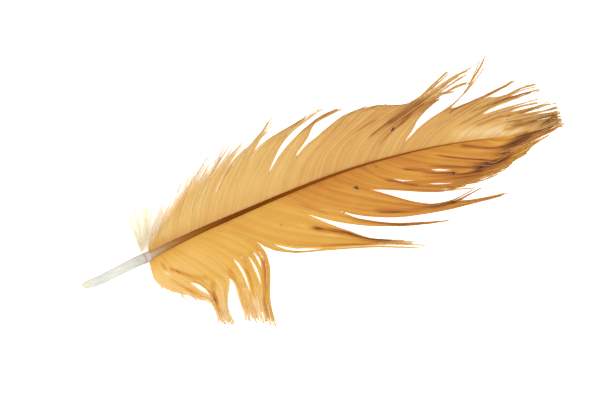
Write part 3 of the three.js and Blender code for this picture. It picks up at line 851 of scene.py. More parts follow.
@dataclass
class Vane:
    """One vane: barbs that leave the shaft side by side and run out in locks."""

    plan: Plan
    side: Side
    locks: tuple[Lock, ...]
    first_root: float
    streaks: tuple[PaintedStreak, ...]
    habit: Habit
    sway: Sway = Sway()
    shading: Shading = Shading()
    # Barbs are laid out at this pitch and may be this much wider, in pitches
    pitch: float = 0.36 * MM
    overlap: float = 1.35
    most_pitches: float = 1.6
    least_width: float = 0.13 * MM
    least_room: float = 0.001 * MM
    thickness: float = 0.07 * MM
    thinning: float = 0.6
    fewest: int = 6
    rows: int = 22
    samples: int = 61
    # How unevenly they stand, end and lie, and how many make a bundle
    jitter: float = 0.25
    uneven_end: float = 0.02
    scatter: float = 0.03 * MM
    scatter_over: Range = (0.1, 0.5)
    bundle: float = 6.0
    gathers_from: Range = (0.35, 0.8)
    # How a lock's edge comes down to the table, and how its outer barbs draw in past a parting
    held: Range = (0.12, 0.8)
    fall_power: float = 1.8
    lift_power: float = 1.5
    tuck: float = 0.6
    tuck_over: Range = (-0.04, 0.08)
    # Steps between neighbours, in pitches, and where along a barb its width changes
    nearest: float = 0.12
    farthest: float = 4.0
    thins_over: Range = (0.15, 0.6)
    loosening: float = 0.7
    loosens_over: Range = (0.45, 0.9)
    wisps_over: Range = (0.7, 1.0)
    least_step: float = 0.1
    steepest: float = 0.6
    first_grown: int = 0
    seed: int = SEED
    grown: tuple[Array, Array] | None = None

    def build(self, name: str, finish: "Finish") -> Piece:
        """Grows the vane's barbs.

        Args:
            name: The piece's name.
            finish: What it is dressed in.

        Returns:
            The finished piece.
        """
        random = np.random.default_rng(self.seed)
        groups = [self._barbs(i, random) for i in range(self.first_grown, len(self.locks))]
        leans = np.concatenate([self._leans(group[0]) for group in groups])
        paths, reach, roots, widths, crowding = (np.concatenate(column) for column in zip(*groups))
        shades = self._shades(paths, reach, roots, crowding, random)
        self.grown = (paths, shades)
        thickness = self.thickness * (1 - self.thinning * reach)
        return dressed(Strands(paths, widths, thickness, shades, leans).mesh(name), finish)

    def top(self, x: float, y: float) -> float:
        """The height of the barbs at a place.

        Args:
            x: The place along the chord.
            y: The place across it.

        Returns:
            The height of the highest of the nearest points, or 0 where no barb is near.
        """
        points = self.grown[0].reshape(-1, 3)
        away = np.hypot(points[:, 0] - x, points[:, 1] - y)
        nearest = np.argsort(away)[:NEAREST_POINTS]
        return float(points[nearest, 2].max()) + self.thickness / 2 if away[nearest[0]] < MM else 0.0

    def partings(self) -> list[Parting]:
        """The lines that bound the locks.

        Returns:
            One parting more than there are locks, from the butt to the tip.
        """
        rows = [(self.first_root, ())]
        for lock in self.locks:
            way = () if lock.split is None else (lock.bend, *lock.course, lock.split)
            rows.append((lock.root or SHAFT_LINE[-1][0], way))
        found = []
        for i, (root, way) in enumerate(rows):
            start = along(self.plan.shaft(), np.array([self.plan.shaft_share(root)]))[0]
            height = float(self.plan.shaft_height(start[0])) - self.plan.sheet / 2
            if not way:
                found.append(Parting(start, height))
                continue
            places = self.plan.place(way)
            trunk = rounded(np.vstack([start, places]))
            length = reaches(trunk)[-1]
            tips = self.plan.place(tuple(lock.tip for lock in self.locks[max(i - 1, 0) : i + 1]))
            free = np.linalg.norm(tips - places[-1], axis=1).mean()
            share = float(np.clip(length / (length + free), *self.held))
            found.append(Parting(start, height, trunk, places[-2], places[-1], share))
        return found

    def edge(self, parting: Parting, guides: Points, tip: Array, lift: float) -> Array:
        """One edge of a lock, from the shaft along its parting and then free to the tip.

        Args:
            parting: The line it follows first.
            guides: Traced points that it passes on its own.
            tip: Where it ends.
            lift: The tip's height over the table, in millimetres.

        Returns:
            Its points, evenly spaced in two stretches.
        """
        share = np.linspace(0, 1, self.samples)
        ways = [*self.plan.place(guides), tip]
        if parting.trunk is None:
            flat = along(rounded(np.stack([parting.start, *ways])), share)
            freed = share
        else:
            line = rounded(np.stack([parting.lead, parting.split, *ways]))[SPAN_STEPS:]
            freed = np.clip((share - parting.share) / (1 - parting.share), 0, 1)
            held = along(parting.trunk, np.clip(share / parting.share, 0, 1))
            flat = np.where((share < parting.share)[:, None], held, along(line, freed))
        out = np.clip(share / self.plan.floor_reach, 0, 1)
        height = parting.height * (1 - out**self.fall_power) + lift * MM * freed**self.lift_power
        return np.column_stack([flat, height + self.plan.sheet / 2])

    def edges(self, i: int) -> tuple[Array, Array, Parting, Parting]:
        """The two edges of a lock and the partings that they follow.

        Args:
            i: The lock's place in the list.

        Returns:
            The near edge, the far edge, and their partings.
        """
        partings = self.partings()
        lock, before, after = self.locks[i], partings[i], partings[i + 1]
        tip = self.plan.place((lock.tip,))[0]
        aim = unit(tip - (before.start if before.split is None else before.split))
        half = leftwards(aim) * self.side.value * lock.blunt * MM / 2
        near = self.edge(before, lock.near, tip + half, lock.lift)
        far = self.edge(after, lock.far, tip - half, lock.lift)
        return near, far, before, after

    def _barbs(self, i: int, random: Random) -> tuple[Array, ...]:
        """The barbs of one lock.

        Args:
            i: The lock's place in the list.
            random: The source of its unevenness.

        Returns:
            Their paths, how far each row is along its barb, the traced x of their roots, their widths
            and how crowded they are.
        """
        near, far, before, after = self.edges(i)
        spread = np.linalg.norm((far - near)[:, :2], axis=1)
        count = max(self.fewest, math.ceil(float(spread.max()) / self.pitch))
        across = (np.arange(count) + random.uniform(-self.jitter, self.jitter, count)) / (count - 1)
        across[0], across[-1] = 0, 1
        bundle = np.cumsum(random.random(count) < 1 / self.bundle)
        middle = np.array([across[bundle == b].mean() for b in bundle])
        if bundle[0] != bundle[-1]:
            middle[bundle == bundle[0]], middle[bundle == bundle[-1]] = 0, 1
        gathers = random.uniform(*self.gathers_from, bundle.max() + 1)[bundle]
        reach = np.linspace(0, 1, self.rows)
        first, last = (float(self.plan.traced(parting.start)[0]) for parting in (before, after))
        roots = first + (last - first) * across
        rag = looked_up(self.habit.rags, roots)
        end = 1 - self.uneven_end * random.random(count) - rag * random.random(count) ** 2
        share = reach[None, :] * end[:, None]
        fray = looked_up(self.habit.frays, roots)[:, None]
        gather = fray * smoothstep(gathers[:, None], 1.0, share)
        place = across[:, None] + (middle - across)[:, None] * gather
        place = self._tucked(place, share, spread, (before.share, after.share))
        paths = between(near, far, share, place)
        self.sway.bend(paths, share, bundle, fray, random)
        scatter = random.uniform(0, self.scatter, count)[:, None]
        paths[..., 2] += scatter * smoothstep(*self.scatter_over, share)
        widths, crowding = self._widths(paths, roots, fray)
        return paths, np.broadcast_to(reach, (count, self.rows)), roots, widths, crowding

    def _tucked(
        self, place: Array, share: Array, spread: Array, opens: Range
    ) -> Array:
        """Draws barbs in by half their width past the partings, so that the lock keeps its outline.

        Args:
            place: Where each point lies from the near edge, 0, to the far one, 1.
            share: How far each point is along the lock.
            spread: The lock's breadth at each sample of its edges.
            opens: How far along the partings on both sides open.

        Returns:
            The places, drawn in.
        """
        room = np.maximum(np.interp(share, np.linspace(0, 1, self.samples), spread), self.least_room)
        most = self.most_pitches * self.pitch
        half = 0.5 * np.clip(self.overlap * room / (len(place) - 1), self.least_width, most)
        inset = self.tuck * np.minimum(half / room, 0.5)
        from_start, until = self.tuck_over
        near, far = (smoothstep(opening + from_start, opening + until, share) for opening in opens)
        return place + inset * (near * (1 - place) - far * place)

    def _widths(self, paths: Array, roots: Array, fray: Array) -> tuple[Array, Array]:
        """The barbs' widths, which fill the room between neighbours where the vane is closed.

        Args:
            paths: The barbs of one lock in order.
            roots: The traced x of their roots.
            fray: How far bundles come apart, for each barb.

        Returns:
            The width and the crowding at each point of each barb.
        """
        sideways = leftwards(unit(np.gradient(paths[..., :2], axis=1)))
        steps = np.abs(((paths[1:, :, :2] - paths[:-1, :, :2]) * sideways[:-1]).sum(-1))
        before = np.vstack([steps[:1], steps])
        after = np.vstack([steps, steps[-1:]])
        least, most = self.nearest * self.pitch, self.farthest * self.pitch
        crowding = self.pitch / np.clip((before + after) / 2, least, most)
        reach = np.linspace(0, 1, paths.shape[1])
        thin, wisp = (looked_up(table, roots)[:, None] for table in (self.habit.thins, self.habit.wisps))
        keep = 1 - (1 - thin) * smoothstep(*self.thins_over, reach)
        loose = self.loosening * smoothstep(*self.loosens_over, reach) * np.clip(fray, 0, 1)
        room = np.maximum(before, after) * (1 - loose) + np.minimum(before, after) * loose
        widths = np.clip(self.overlap * room, self.least_width, self.most_pitches * self.pitch) * keep
        return widths * (1 - wisp * smoothstep(*self.wisps_over, reach)), crowding

    def _leans(self, paths: Array) -> Array:
        """How steeply the vane rises to the right of each barb, so that barbs lie flat side by side.

        Args:
            paths: The barbs of one lock in order.

        Returns:
            The slope at each point of each barb.
        """
        runs = np.gradient(paths, axis=1)
        level = np.maximum(np.linalg.norm(runs[..., :2], axis=2), NO_LENGTH)
        ahead = runs[..., :2] / level[..., None]
        step = np.gradient(paths, axis=0)
        across = -(step[..., :2] * leftwards(ahead)).sum(-1)
        rise = step[..., 2] - (step[..., :2] * ahead).sum(-1) * runs[..., 2] / level
        slope = rise * across / (across**2 + (self.least_step * self.pitch) ** 2)
        return np.clip(slope, -self.steepest, self.steepest)

    def _shades(
        self, paths: Array, reach: Array, roots: Array, crowding: Array, random: Random
    ) -> Array:
        """How dark the vane is at each point, from 0, cream, to 1, dark brown, with painted shade where
        barbs lie crowded, fold and meet the shaft, and painted light at thin ends and gaps.

        Args:
            paths: The barbs.
            reach: How far each point is along its barb.
            roots: The traced x of the barbs' roots.
            crowding: How closely the barbs lie.
            random: The source of the unevenness.

        Returns:
            One shade for each point.
        """
        ways, habit = self.shading, self.habit
        grain = layered(len(paths), ways.grains, random) * looked_up(habit.grains, roots)
        grain = grain[:, None] * (ways.grain_at_root + (1 - ways.grain_at_root) * reach)
        # Painted shade where barbs lie crowded, growing along each barb
        crowd_shade = ways.crowded * np.clip(np.log2(crowding), *ways.crowding)
        # Painted shade next to the shaft, fading out along each barb
        foot = looked_up(habit.feet, roots)[:, None] * (1 - smoothstep(*ways.shaft_shade_over, reach))
        # Paler ends, painted light where thin barbs let the table's light through, and a little darker near
        # the feather's tip
        end = looked_up(habit.fades, roots)[:, None] * smoothstep(*ways.end_over, reach)
        shade = looked_up(habit.tones, roots)[:, None] + grain
        shade = shade + crowd_shade * smoothstep(*ways.crowd_shade_over, reach) + foot + end
        # Painted shade along folds and thick bundles and painted light along gaps, uneven from barb to barb
        traced = self.plan.traced(paths[..., :2]).reshape(-1, 2)
        strand = layered(len(paths), ways.streaks, random)[:, None]
        for streak in self.streaks:
            away = distance_to(np.array(streak.line, float), traced).reshape(shade.shape)
            vary = 1 + strand * min(ways.streak_by_width * streak.width, ways.most_streak)
            shade = shade + streak.strength * np.clip(vary, 0, 2) * np.exp(-((away / streak.width) ** 2))
        return np.clip(shade, 0, 1)


@dataclass
class Down:
    """The soft tuft at the vane's foot: loose wavy barbs, each with fine barbules on both sides."""

    vane: Vane
    locks: range = range(6)
    # How far along each lock its barbs start and end
    starts: tuple[float, ...] = (0.0, 0.0, 0.0, 0.0, 0.08, 0.3)
    ends: Range = (0.75, 1.0)
    # The barbs: how they lie across the lock, narrow in, drift, wave and rise
    barbs: int = 10
    rows: int = 26
    stem_rows: int = 24
    barb_width: float = 0.06 * MM
    barb_shades: Range = (0.16, 0.03)
    across: Range = (-0.1, 1.1)
    narrowing: float = 0.4
    drift: float = 0.9 * MM
    drift_power: float = 1.5
    turns: Range = (6.0, 14.0)
    wave: float = 0.12 * MM
    rise: float = 0.6 * MM
    # The barbules: where the first sits, how they leave their barb, curl and rise
    first_hair: float = 0.14
    hair_pitch: float = 0.42 * MM
    hair_jitter: float = 0.3
    hair_length: float = 1.9 * MM
    hair_lengths: Range = (0.5, 1.1)
    longest: float = 1.15
    shortening: float = 0.6
    hair_width: float = 0.05 * MM
    hair_rows: int = 5
    hair_angle: Range = (0.5, 1.0)
    hair_curl: Range = (0.1, 0.7)
    hair_rise: Range = (-0.25 * MM, 0.45 * MM)
    lowest: float = 0.05 * MM
    hair_shades: Range = (0.0, 0.16)
    seed: int = SEED + 7

    def build(self, name: str, finish: "Finish") -> Piece:
        """Grows the tuft.

        Args:
            name: The piece's name.
            finish: What it is dressed in.

        Returns:
            The finished piece.
        """
        random = np.random.default_rng(self.seed)
        paths = np.concatenate([self._barbs(i, random) for i in self.locks])
        hairs = self._hairs(paths, random)
        stems = Strands.tapered(
            np.stack([along(path, np.linspace(0, 1, self.stem_rows)) for path in paths]),
            self.barb_width,
            FINE_END,
            self.barb_width * STEM_THICKNESS,
            np.linspace(*self.barb_shades, self.stem_rows),
        )
        return dressed(joined([stems.mesh(name), hairs.mesh(name + "_hairs")], name), finish)

    def _barbs(self, i: int, random: Random) -> Array:
        """The wavy barbs of one lock.

        Args:
            i: The lock's place in the list.
            random: The source of its unevenness.

        Returns:
            Their paths.
        """
        near, far, _, _ = self.vane.edges(i)
        each = (self.barbs, 1)
        place = random.uniform(*self.across, each)
        end = random.uniform(*self.ends, each)
        share = self.starts[i] + (end - self.starts[i]) * np.linspace(0, 1, self.rows)[None, :]
        paths = between(near, far, share, 0.5 + (place - 0.5) * (1 - self.narrowing * share))
        drift = random.normal(0, self.drift, each) * share**self.drift_power
        wave = self.wave * waves(share, self.turns, random) * share
        sideways = leftwards(unit(paths[:, -1, :2] - paths[:, 0, :2]))[:, None, :]
        paths[..., :2] += sideways * (drift + wave)[..., None]
        paths[..., 2] += random.uniform(0, self.rise, each) * share
        return paths

    def _hairs(self, stems: Array, random: Random) -> Strands:
        """Barbules on both sides of the barbs.

        Args:
            stems: The barbs' paths.
            random: The source of the unevenness.

        Returns:
            The barbules.
        """
        paths = []
        for stem in stems:
            pitch = self.hair_pitch / reaches(stem)[-1]
            shares = np.arange(self.first_hair, 1.0, pitch)
            jitter = random.uniform(-self.hair_jitter, self.hair_jitter, len(shares)) * pitch
            shares = np.clip(shares + jitter, 0, 1)
            before, after = (along(stem, np.clip(shares + step, 0, 1)) for step in (-HAIR_STEP, HAIR_STEP))
            for turn in (-1, 1):
                angle = turn * random.uniform(*self.hair_angle, len(shares))
                length = self.hair_length * random.uniform(*self.hair_lengths, len(shares))
                length = length * (self.longest - self.shortening * shares)
                curl = -turn * random.uniform(*self.hair_curl, len(shares))
                feet = along(stem, shares)
                paths.append(curled(feet, after - before, angle, curl, length, self.hair_rows))
        paths = np.concatenate(paths)
        each = (len(paths), 1)
        paths[..., 2] += np.linspace(0, 1, self.hair_rows) * random.uniform(*self.hair_rise, each)
        paths[..., 2] = np.maximum(paths[..., 2], self.lowest)
        shades = random.uniform(*self.hair_shades, each)
        return Strands.tapered(paths, self.hair_width, FINE_END, self.hair_width * HAIR_THICKNESS, shades)


@dataclass
class Fringe:
    """Loose hairs: barbs that have come away from the vanes, and fuzz along their edges."""

    plan: Plan
    vanes: tuple[Vane, ...]
    strays: tuple[Points, ...]
    fuzz: tuple[Points, ...]
    width: float = 0.13 * MM
    hair_width: float = 0.07 * MM
    # Strays and fuzz: how dark they are, how long, how they drift, and their height from foot to end
    rows: int = 12
    stray_shade: float = 0.34
    fuzz_shade: float = 0.08
    fuzz_barbs: int = 22
    fuzz_drift: float = 1.4 * MM
    fuzz_lengths: Range = (0.6, 1.0)
    drift_power: float = 1.3
    heights: Range = (1.2 * MM, 0.3 * MM)
    # Fine hairs on the barbs: how many barbs have them, at which of their rows, and how they leave
    tip_share: float = 0.9
    tip_at: tuple[int, ...] = (14, 16, 18, 20)
    tip_rows: int = 6
    tip_shape: float = 2.0
    tip_length: float = 0.32 * MM
    tip_lengths: Range = (0.2 * MM, 2.6 * MM)
    tip_angle: Range = (0.08, 0.4)
    tip_curl: Range = (0.0, 0.4)
    tip_paler: float = 0.06
    # Crossed barbs: where they begin, how many there are on each vane, and how they lie
    crossed_from: Range = (400, 400)
    crossed_share: Range = (0.35, 0.3)
    crossed_at: tuple[int, int] = (6, 14)
    crossed_drift: float = 0.8
    crossed_power: float = 1.2
    crossed_shift: float = 0.3
    crossed_arch: float = 0.12 * MM
    crossed_lift: float = 0.05 * MM
    crossed_shade: float = 0.15
    crossed_shades: Range = (0.05, 0.95)
    crossed_widths: Range = (0.8, 1.6)
    seed: int = SEED + 13

    def build(self, name: str, finish: "Finish") -> Piece:
        """Grows the loose hairs.

        Args:
            name: The piece's name.
            finish: What it is dressed in.

        Returns:
            The finished piece.
        """
        random = np.random.default_rng(self.seed)
        paths = [self._strand(line, random, 0.0) for line in self.strays]
        for line in self.fuzz:
            paths += [self._strand(line, random, self.fuzz_drift) for _ in range(self.fuzz_barbs)]
        loose = (np.arange(len(paths)) < len(self.strays))[:, None]
        width = np.where(loose, self.width, self.hair_width)
        shades = np.where(loose, self.stray_shade, self.fuzz_shade)
        thickness = self.hair_width * HAIR_THICKNESS
        strays = Strands.tapered(np.stack(paths), width, COARSE_END, thickness, shades)
        tips, crossed = self._tips(random), self._crossed(random)
        parts = [strays.mesh(name), tips.mesh(name + "_tips"), crossed.mesh(name + "_crossed")]
        return dressed(joined(parts, name), finish)

    def _strand(self, line: Points, random: Random, drift: float) -> Array:
        """One hair along a traced line.

        Args:
            line: Its traced points.
            random: The source of its unevenness.
            drift: How far it may wander.

        Returns:
            Its path, close over the table.
        """
        share = np.linspace(0, 1, self.rows)
        end = random.uniform(*self.fuzz_lengths) if drift else 1
        flat = along(rounded(self.plan.place(line)), np.linspace(0, end, self.rows))
        flat = flat + random.normal(0, drift, 2) * share[:, None] ** self.drift_power
        return np.column_stack([flat, np.linspace(*self.heights, self.rows)])

    def _tips(self, random: Random) -> Strands:
        """Fine hairs that stand off the outermost part of the barbs.

        Args:
            random: The source of their unevenness.

        Returns:
            The hairs.
        """
        feet, ahead, shades = [], [], []
        for vane in self.vanes:
            paths, tone = vane.grown
            pick = random.random(len(paths)) < self.tip_share
            for row in self.tip_at:
                feet.append(paths[pick, row])
                ahead.append(paths[pick, row] - paths[pick, row - 1])
                shades.append(tone[pick, row])
        feet, ahead, shades = np.concatenate(feet), np.concatenate(ahead), np.concatenate(shades)
        count = len(feet)
        turn = random.choice([-1, 1], count)
        length = np.clip(random.gamma(self.tip_shape, self.tip_length, count), *self.tip_lengths)
        angle = turn * random.uniform(*self.tip_angle, count)
        curl = -turn * random.uniform(*self.tip_curl, count)
        paths = curled(feet, ahead, angle, curl, length, self.tip_rows)
        paler = np.clip(shades[:, None] - self.tip_paler, 0, 1)
        return Strands.tapered(paths, self.hair_width, FINE_END, self.hair_width * HAIR_THICKNESS, paler)

    def _crossed(self, random: Random) -> Strands:
        """Single barbs that lie across their neighbours near the feather's tip.

        Args:
            random: The source of their unevenness.

        Returns:
            The barbs.
        """
        paths, shades = [], []
        share = np.linspace(0, 1, self.rows)
        arch = np.sin(math.pi * share) * self.crossed_arch + self.crossed_lift
        for vane, first, picked in zip(self.vanes, self.crossed_from, self.crossed_share):
            grown, tone = vane.grown
            roots = vane.plan.traced(grown[:, 0, :2])[:, 0]
            pick = np.flatnonzero((roots > first) & (random.random(len(roots)) < picked))
            for barb, row in zip(pick, random.integers(*self.crossed_at, len(pick))):
                path = along(grown[barb, row:], share)
                drift = random.normal(0, self.crossed_drift) * share**self.crossed_power
                drift = drift + random.normal(0, self.crossed_shift)
                path[:, :2] += leftwards(unit(path[-1, :2] - path[0, :2])) * drift[:, None] * MM
                path[:, 2] += arch
                paths.append(path)
                shade = tone[barb, row:].mean() + random.normal(0.0, self.crossed_shade)
                shades.append([np.clip(shade, *self.crossed_shades)])
        width = random.uniform(*self.crossed_widths, (len(paths), 1)) * self.width
        return Strands.tapered(np.stack(paths), width, COARSE_END, self.hair_width, np.array(shades))


# Single barbs that have come away
STRAYS: tuple[Points, ...] = (
    ((448, 92), (462, 84), (469.5, 81.3), (478, 85.5), (486, 91)),
    ((449, 109), (458, 100.5), (466, 90), (475, 74), (483, 57.5)),
    ((350, 110), (358, 106), (368, 103.3), (380, 101.8), (391, 100.3)),
    ((424, 98), (430, 89), (438, 79), (448, 71), (455, 67)),
    ((428, 94), (440, 82), (452, 75), (466, 68), (477, 63.5)),
    ((436, 92), (448, 85), (460, 80), (471, 77.5)),
    ((445, 93), (456, 90), (466, 85), (470, 82)),
    ((500, 88), (508, 83), (514, 79), (519, 78)),
    ((500, 98), (512, 92), (524, 87), (535, 83.5)),
    ((498, 107), (508, 102), (520, 98), (536, 96)),
    ((505, 106), (520, 102), (535, 99.5), (549, 98)),
    ((540, 127), (552, 124), (562, 123.5), (568, 122)),
    ((372, 242), (392, 244), (410, 247.5), (424, 248)),
    ((380, 241), (400, 241), (416, 240), (424, 239)),
    ((452, 204), (466, 198), (478, 193), (484, 187.5)),
    ((470, 203), (486, 200), (498, 196.5), (508, 192.5)),
    ((400, 224), (420, 223), (436, 222), (453, 220)),
    ((236, 161), (246, 147), (256, 136), (264, 129)),
    ((176, 193), (182, 183), (188, 175), (195, 162)),
    ((186, 185), (194, 172), (203, 161), (212, 155)),
    ((205, 176), (213, 163), (224, 152), (233, 146)),
    ((214, 168), (222, 157), (233, 149), (243, 141)),
    ((212, 300), (216, 312), (219, 325)),
    ((228, 300), (231, 314), (236, 328)),
    ((248, 298), (253, 311), (262, 325)),
    ((262, 300), (267, 315), (272, 329)),
    ((268, 300), (272, 316), (278, 329)),
)


# Lines of fine fuzz under the foot of the lower vane
FUZZ: tuple[Points, ...] = (
    ((153, 274), (156, 281), (158, 288)),
    ((158, 280), (164, 290), (168, 297)),
    ((168, 286), (176, 296), (182, 306)),
    ((178, 290), (186, 299), (194, 308)),
    ((190, 294), (199, 302), (207, 312)),
)


@dataclass(frozen=True)
class Speck:
    """One bit of dirt: its traced place, its length and breadth in millimetres, its turn and its shade."""

    place: Point
    length: float
    breadth: float
    turn: float
    dark: float


SPECKS: tuple[Speck, ...] = (
    Speck((392.6, 129.2), 1.15, 0.55, 50, 1.0),
    Speck((391.0, 130.8), 0.6, 0.35, 35, 0.85),
    Speck((452.8, 173.2), 0.85, 0.62, 10, 1.0),
    Speck((450.4, 173.0), 0.9, 0.3, 5, 0.6),
    Speck((355.6, 187.6), 1.25, 0.75, -12, 0.7),
    Speck((357.4, 188.6), 0.55, 0.4, 30, 0.95),
    Speck((376.0, 167.2), 1.0, 0.5, -5, 0.45),
    Speck((343.6, 212.5), 0.55, 0.35, 20, 0.6),
    Speck((282.0, 225.0), 0.8, 0.4, 0, 0.15),
)


@dataclass
class Dirt:
    """Small dry crumbs that stick to the vanes."""

    plan: Plan
    vanes: tuple[Vane, ...]
    specks: tuple[Speck, ...] = SPECKS
    height: float = 0.22 * MM
    fineness: int = 3
    dents: int = 4
    dent_depth: float = 0.08
    dent_turns: float = 2.2
    # The shares of its height that it is cut off below its middle and lifted over the barbs
    below: float = 0.4
    lift: float = 0.1
    seed: int = SEED + 29

    def build(self, name: str, finish: "Finish") -> Piece:
        """Models the crumbs.

        Args:
            name: The piece's name.
            finish: What they are dressed in.

        Returns:
            The finished piece.
        """
        random = np.random.default_rng(self.seed)
        crumbs = []
        for speck in self.specks:
            x, y = self.plan.place((speck.place,))[0]
            z = max(vane.top(x, y) for vane in self.vanes)
            crumbs.append(self._crumb(speck, (x, y, z), random))
        return dressed(joined(crumbs, name), finish)

    def _crumb(
        self, speck: Speck, place: tuple[float, float, float], random: Random
    ) -> Piece:
        """One crumb, a flattened ball pushed out of shape.

        Args:
            speck: Its size and turn.
            place: Where it lies.
            random: The source of its shape.

        Returns:
            The crumb.
        """
        bpy.ops.object.select_all(action="DESELECT")
        bpy.ops.mesh.primitive_ico_sphere_add(subdivisions=self.fineness, radius=MM / 2, location=(0, 0, 0))
        crumb = bpy.context.active_object
        bpy.ops.object.mode_set(mode="EDIT")
        bpy.ops.mesh.select_all(action="SELECT")
        bpy.ops.transform.resize(value=(speck.length, speck.breadth, 2 * self.height / MM))
        bpy.ops.object.mode_set(mode="OBJECT")
        dents = random.normal(0, 1, (self.dents, 3))
        turn = math.radians(speck.turn)
        for corner in crumb.data.vertices:
            direction = np.array(corner.co) / np.linalg.norm(corner.co)
            bulge = 1 + self.dent_depth * float(np.sin(dents @ direction * self.dent_turns).sum())
            x, y, z = (value * bulge for value in corner.co)
            corner.co = (
                place[0] + x * math.cos(turn) - y * math.sin(turn),
                place[1] + x * math.sin(turn) + y * math.cos(turn),
                place[2] + max(z, -self.below * self.height) + self.lift * self.height,
            )
        keep_number(crumb.data, "shade", np.full(len(crumb.data.vertices), speck.dark))
        for face in crumb.data.polygons:
            face.use_smooth = True
        return crumb


@dataclass
class Shaft:
    """The quill and the shaft: a rod that thins all the way, drawn straight and then bent along its line."""

    plan: Plan
    # Traced x and radius in millimetres
    stations: Points = (
        (83.0, 0.70), (83.8, 0.90), (86, 1.08), (90, 1.25), (96, 1.38), (104, 1.46), (112, 1.50),
        (120, 1.51), (128, 1.52), (135, 1.56), (141, 1.59), (145.2, 1.60), (146.0, 1.54), (146.6, 1.47),
        (147.2, 1.52), (148.0, 1.60), (149.4, 1.57), (150.4, 1.46), (151.2, 1.20), (152.5, 1.06),
        (156, 1.03), (160, 1.0), (170, 0.97), (180, 0.93), (190, 0.87), (200, 0.82), (215, 0.76),
        (230, 0.71), (250, 0.63), (270, 0.56), (290, 0.50), (310, 0.44), (330, 0.39), (350, 0.34),
        (370, 0.30), (390, 0.27), (410, 0.235), (430, 0.20), (450, 0.17), (470, 0.14), (490, 0.11),
        (510, 0.08), (524, 0.06), (535, 0.04),
    )
    sides: int = 20
    steps: int = 240
    smooth_under: float = 50.0
    pit: float = 1.1 * MM
    wall: float = 0.22 * MM
    butt_within: float = 0.01 * MM
    butt_facing: float = -0.99
    groove_from: float = 158.0
    groove_facing: float = -0.9
    groove_inset: float = 0.02 * MM
    groove_depth: float = 0.05 * MM

    def build(self, name: str, finish: "Finish") -> Piece:
        """Draws the rod, opens its butt, cuts the groove below and bends it.

        Args:
            name: The piece's name.
            finish: What it is dressed in.

        Returns:
            The finished piece.
        """
        line = self._line()
        marks = self._marks(line)
        bpy.ops.object.select_all(action="DESELECT")
        radius = self.stations[0][1] * MM
        bpy.ops.mesh.primitive_circle_add(
            vertices=self.sides, radius=radius, fill_type="NGON", rotation=(0, math.pi / 2, 0)
        )
        rod = bpy.context.active_object
        rod.name = name
        bpy.ops.object.transform_apply(location=False, rotation=True, scale=False)
        bpy.ops.object.mode_set(mode="EDIT")
        bpy.ops.mesh.select_all(action="SELECT")
        for (_, before), (_, radius), start, stop in zip(self.stations, self.stations[1:], marks, marks[1:]):
            bpy.ops.mesh.extrude_region_move(TRANSFORM_OT_translate={"value": (stop - start, 0, 0)})
            grow = radius / before
            bpy.ops.transform.resize(value=(1, grow, grow), center_override=(stop, 0, 0))
        self._open_butt()
        self._cut_groove(rod, marks)
        bpy.ops.mesh.select_all(action="SELECT")
        bpy.ops.mesh.normals_make_consistent(inside=False)
        bpy.ops.object.mode_set(mode="OBJECT")
        self._mark_sides(rod, marks)
        self._bend(rod, line)
        bpy.ops.object.shade_smooth_by_angle(angle=math.radians(self.smooth_under))
        return dressed(rod, finish)

    def _line(self) -> Array:
        """The shaft's middle line in space."""
        flat = along(self.plan.shaft(), np.linspace(0, 1, self.steps))
        return np.column_stack([flat, self.plan.shaft_height(flat[:, 0])])

    def _marks(self, line: Array) -> Array:
        """How far along the line each station is."""
        traced_x = self.plan.traced(line)[:, 0]
        return np.interp([x for x, _ in self.stations], traced_x, reaches(line))

    def _open_butt(self) -> None:
        """Sinks a pit with a thin rim into the butt."""
        rod = bpy.context.edit_object
        bpy.ops.mesh.select_all(action="DESELECT")
        bpy.ops.object.mode_set(mode="OBJECT")
        for face in rod.data.polygons:
            face.select = face.normal.x < self.butt_facing and face.center.x < self.butt_within
        bpy.ops.object.mode_set(mode="EDIT")
        bpy.ops.mesh.inset(thickness=self.wall, depth=0)
        bpy.ops.mesh.extrude_region_move(TRANSFORM_OT_translate={"value": (self.pit, 0, 0)})

    def _cut_groove(self, rod: Piece, marks: Array) -> None:
        """Presses a shallow groove into the shaft's underside.

        Args:
            rod: The straight rod.
            marks: How far along it each station is.
        """
        start = float(np.interp(self.groove_from, [x for x, _ in self.stations], marks))
        bpy.ops.mesh.select_all(action="DESELECT")
        bpy.ops.object.mode_set(mode="OBJECT")
        for face in rod.data.polygons:
            face.select = face.center.x > start and face.normal.z < self.groove_facing
        bpy.ops.object.mode_set(mode="EDIT")
        bpy.ops.mesh.inset(thickness=self.groove_inset, depth=0)
        bpy.ops.transform.translate(value=(0, 0, self.groove_depth))

    def _mark_sides(self, rod: Piece, marks: Array) -> None:
        """Keeps how far each point of the straight rod lies to its left, from -1 to 1, for the quill's
        painted shade at its rims and left side.

        Args:
            rod: The straight rod.
            marks: How far along it each station is.
        """
        places = np.zeros(3 * len(rod.data.vertices))
        rod.data.vertices.foreach_get("co", places)
        x, y, _ = places.reshape(-1, 3).T
        radius = np.interp(x, marks, [radius for _, radius in self.stations]) * MM
        keep_number(rod.data, "side", y / radius)

    @staticmethod
    def _bend(rod: Piece, line: Array) -> None:
        """Bends the straight rod along a line.

        Args:
            rod: The rod, along X from the origin.
            line: The line's points.
        """
        data = bpy.data.curves.new("shaft_line", "CURVE")
        data.dimensions = "3D"
        data.twist_mode = "Z_UP"
        spline = data.splines.new("POLY")
        spline.points.add(len(line) - 1)
        spline.points.foreach_set("co", np.column_stack([line, np.ones(len(line))]).reshape(-1))
        guide = bpy.data.objects.new("shaft_line", data)
        bpy.context.scene.collection.objects.link(guide)
        bend = rod.modifiers.new("Bend", "CURVE")
        bend.object = guide
        bend.deform_axis = "POS_X"
        bpy.context.view_layer.objects.active = rod
        bpy.ops.object.modifier_apply(modifier=bend.name)
        bpy.data.objects.remove(guide)
        bpy.data.curves.remove(data)


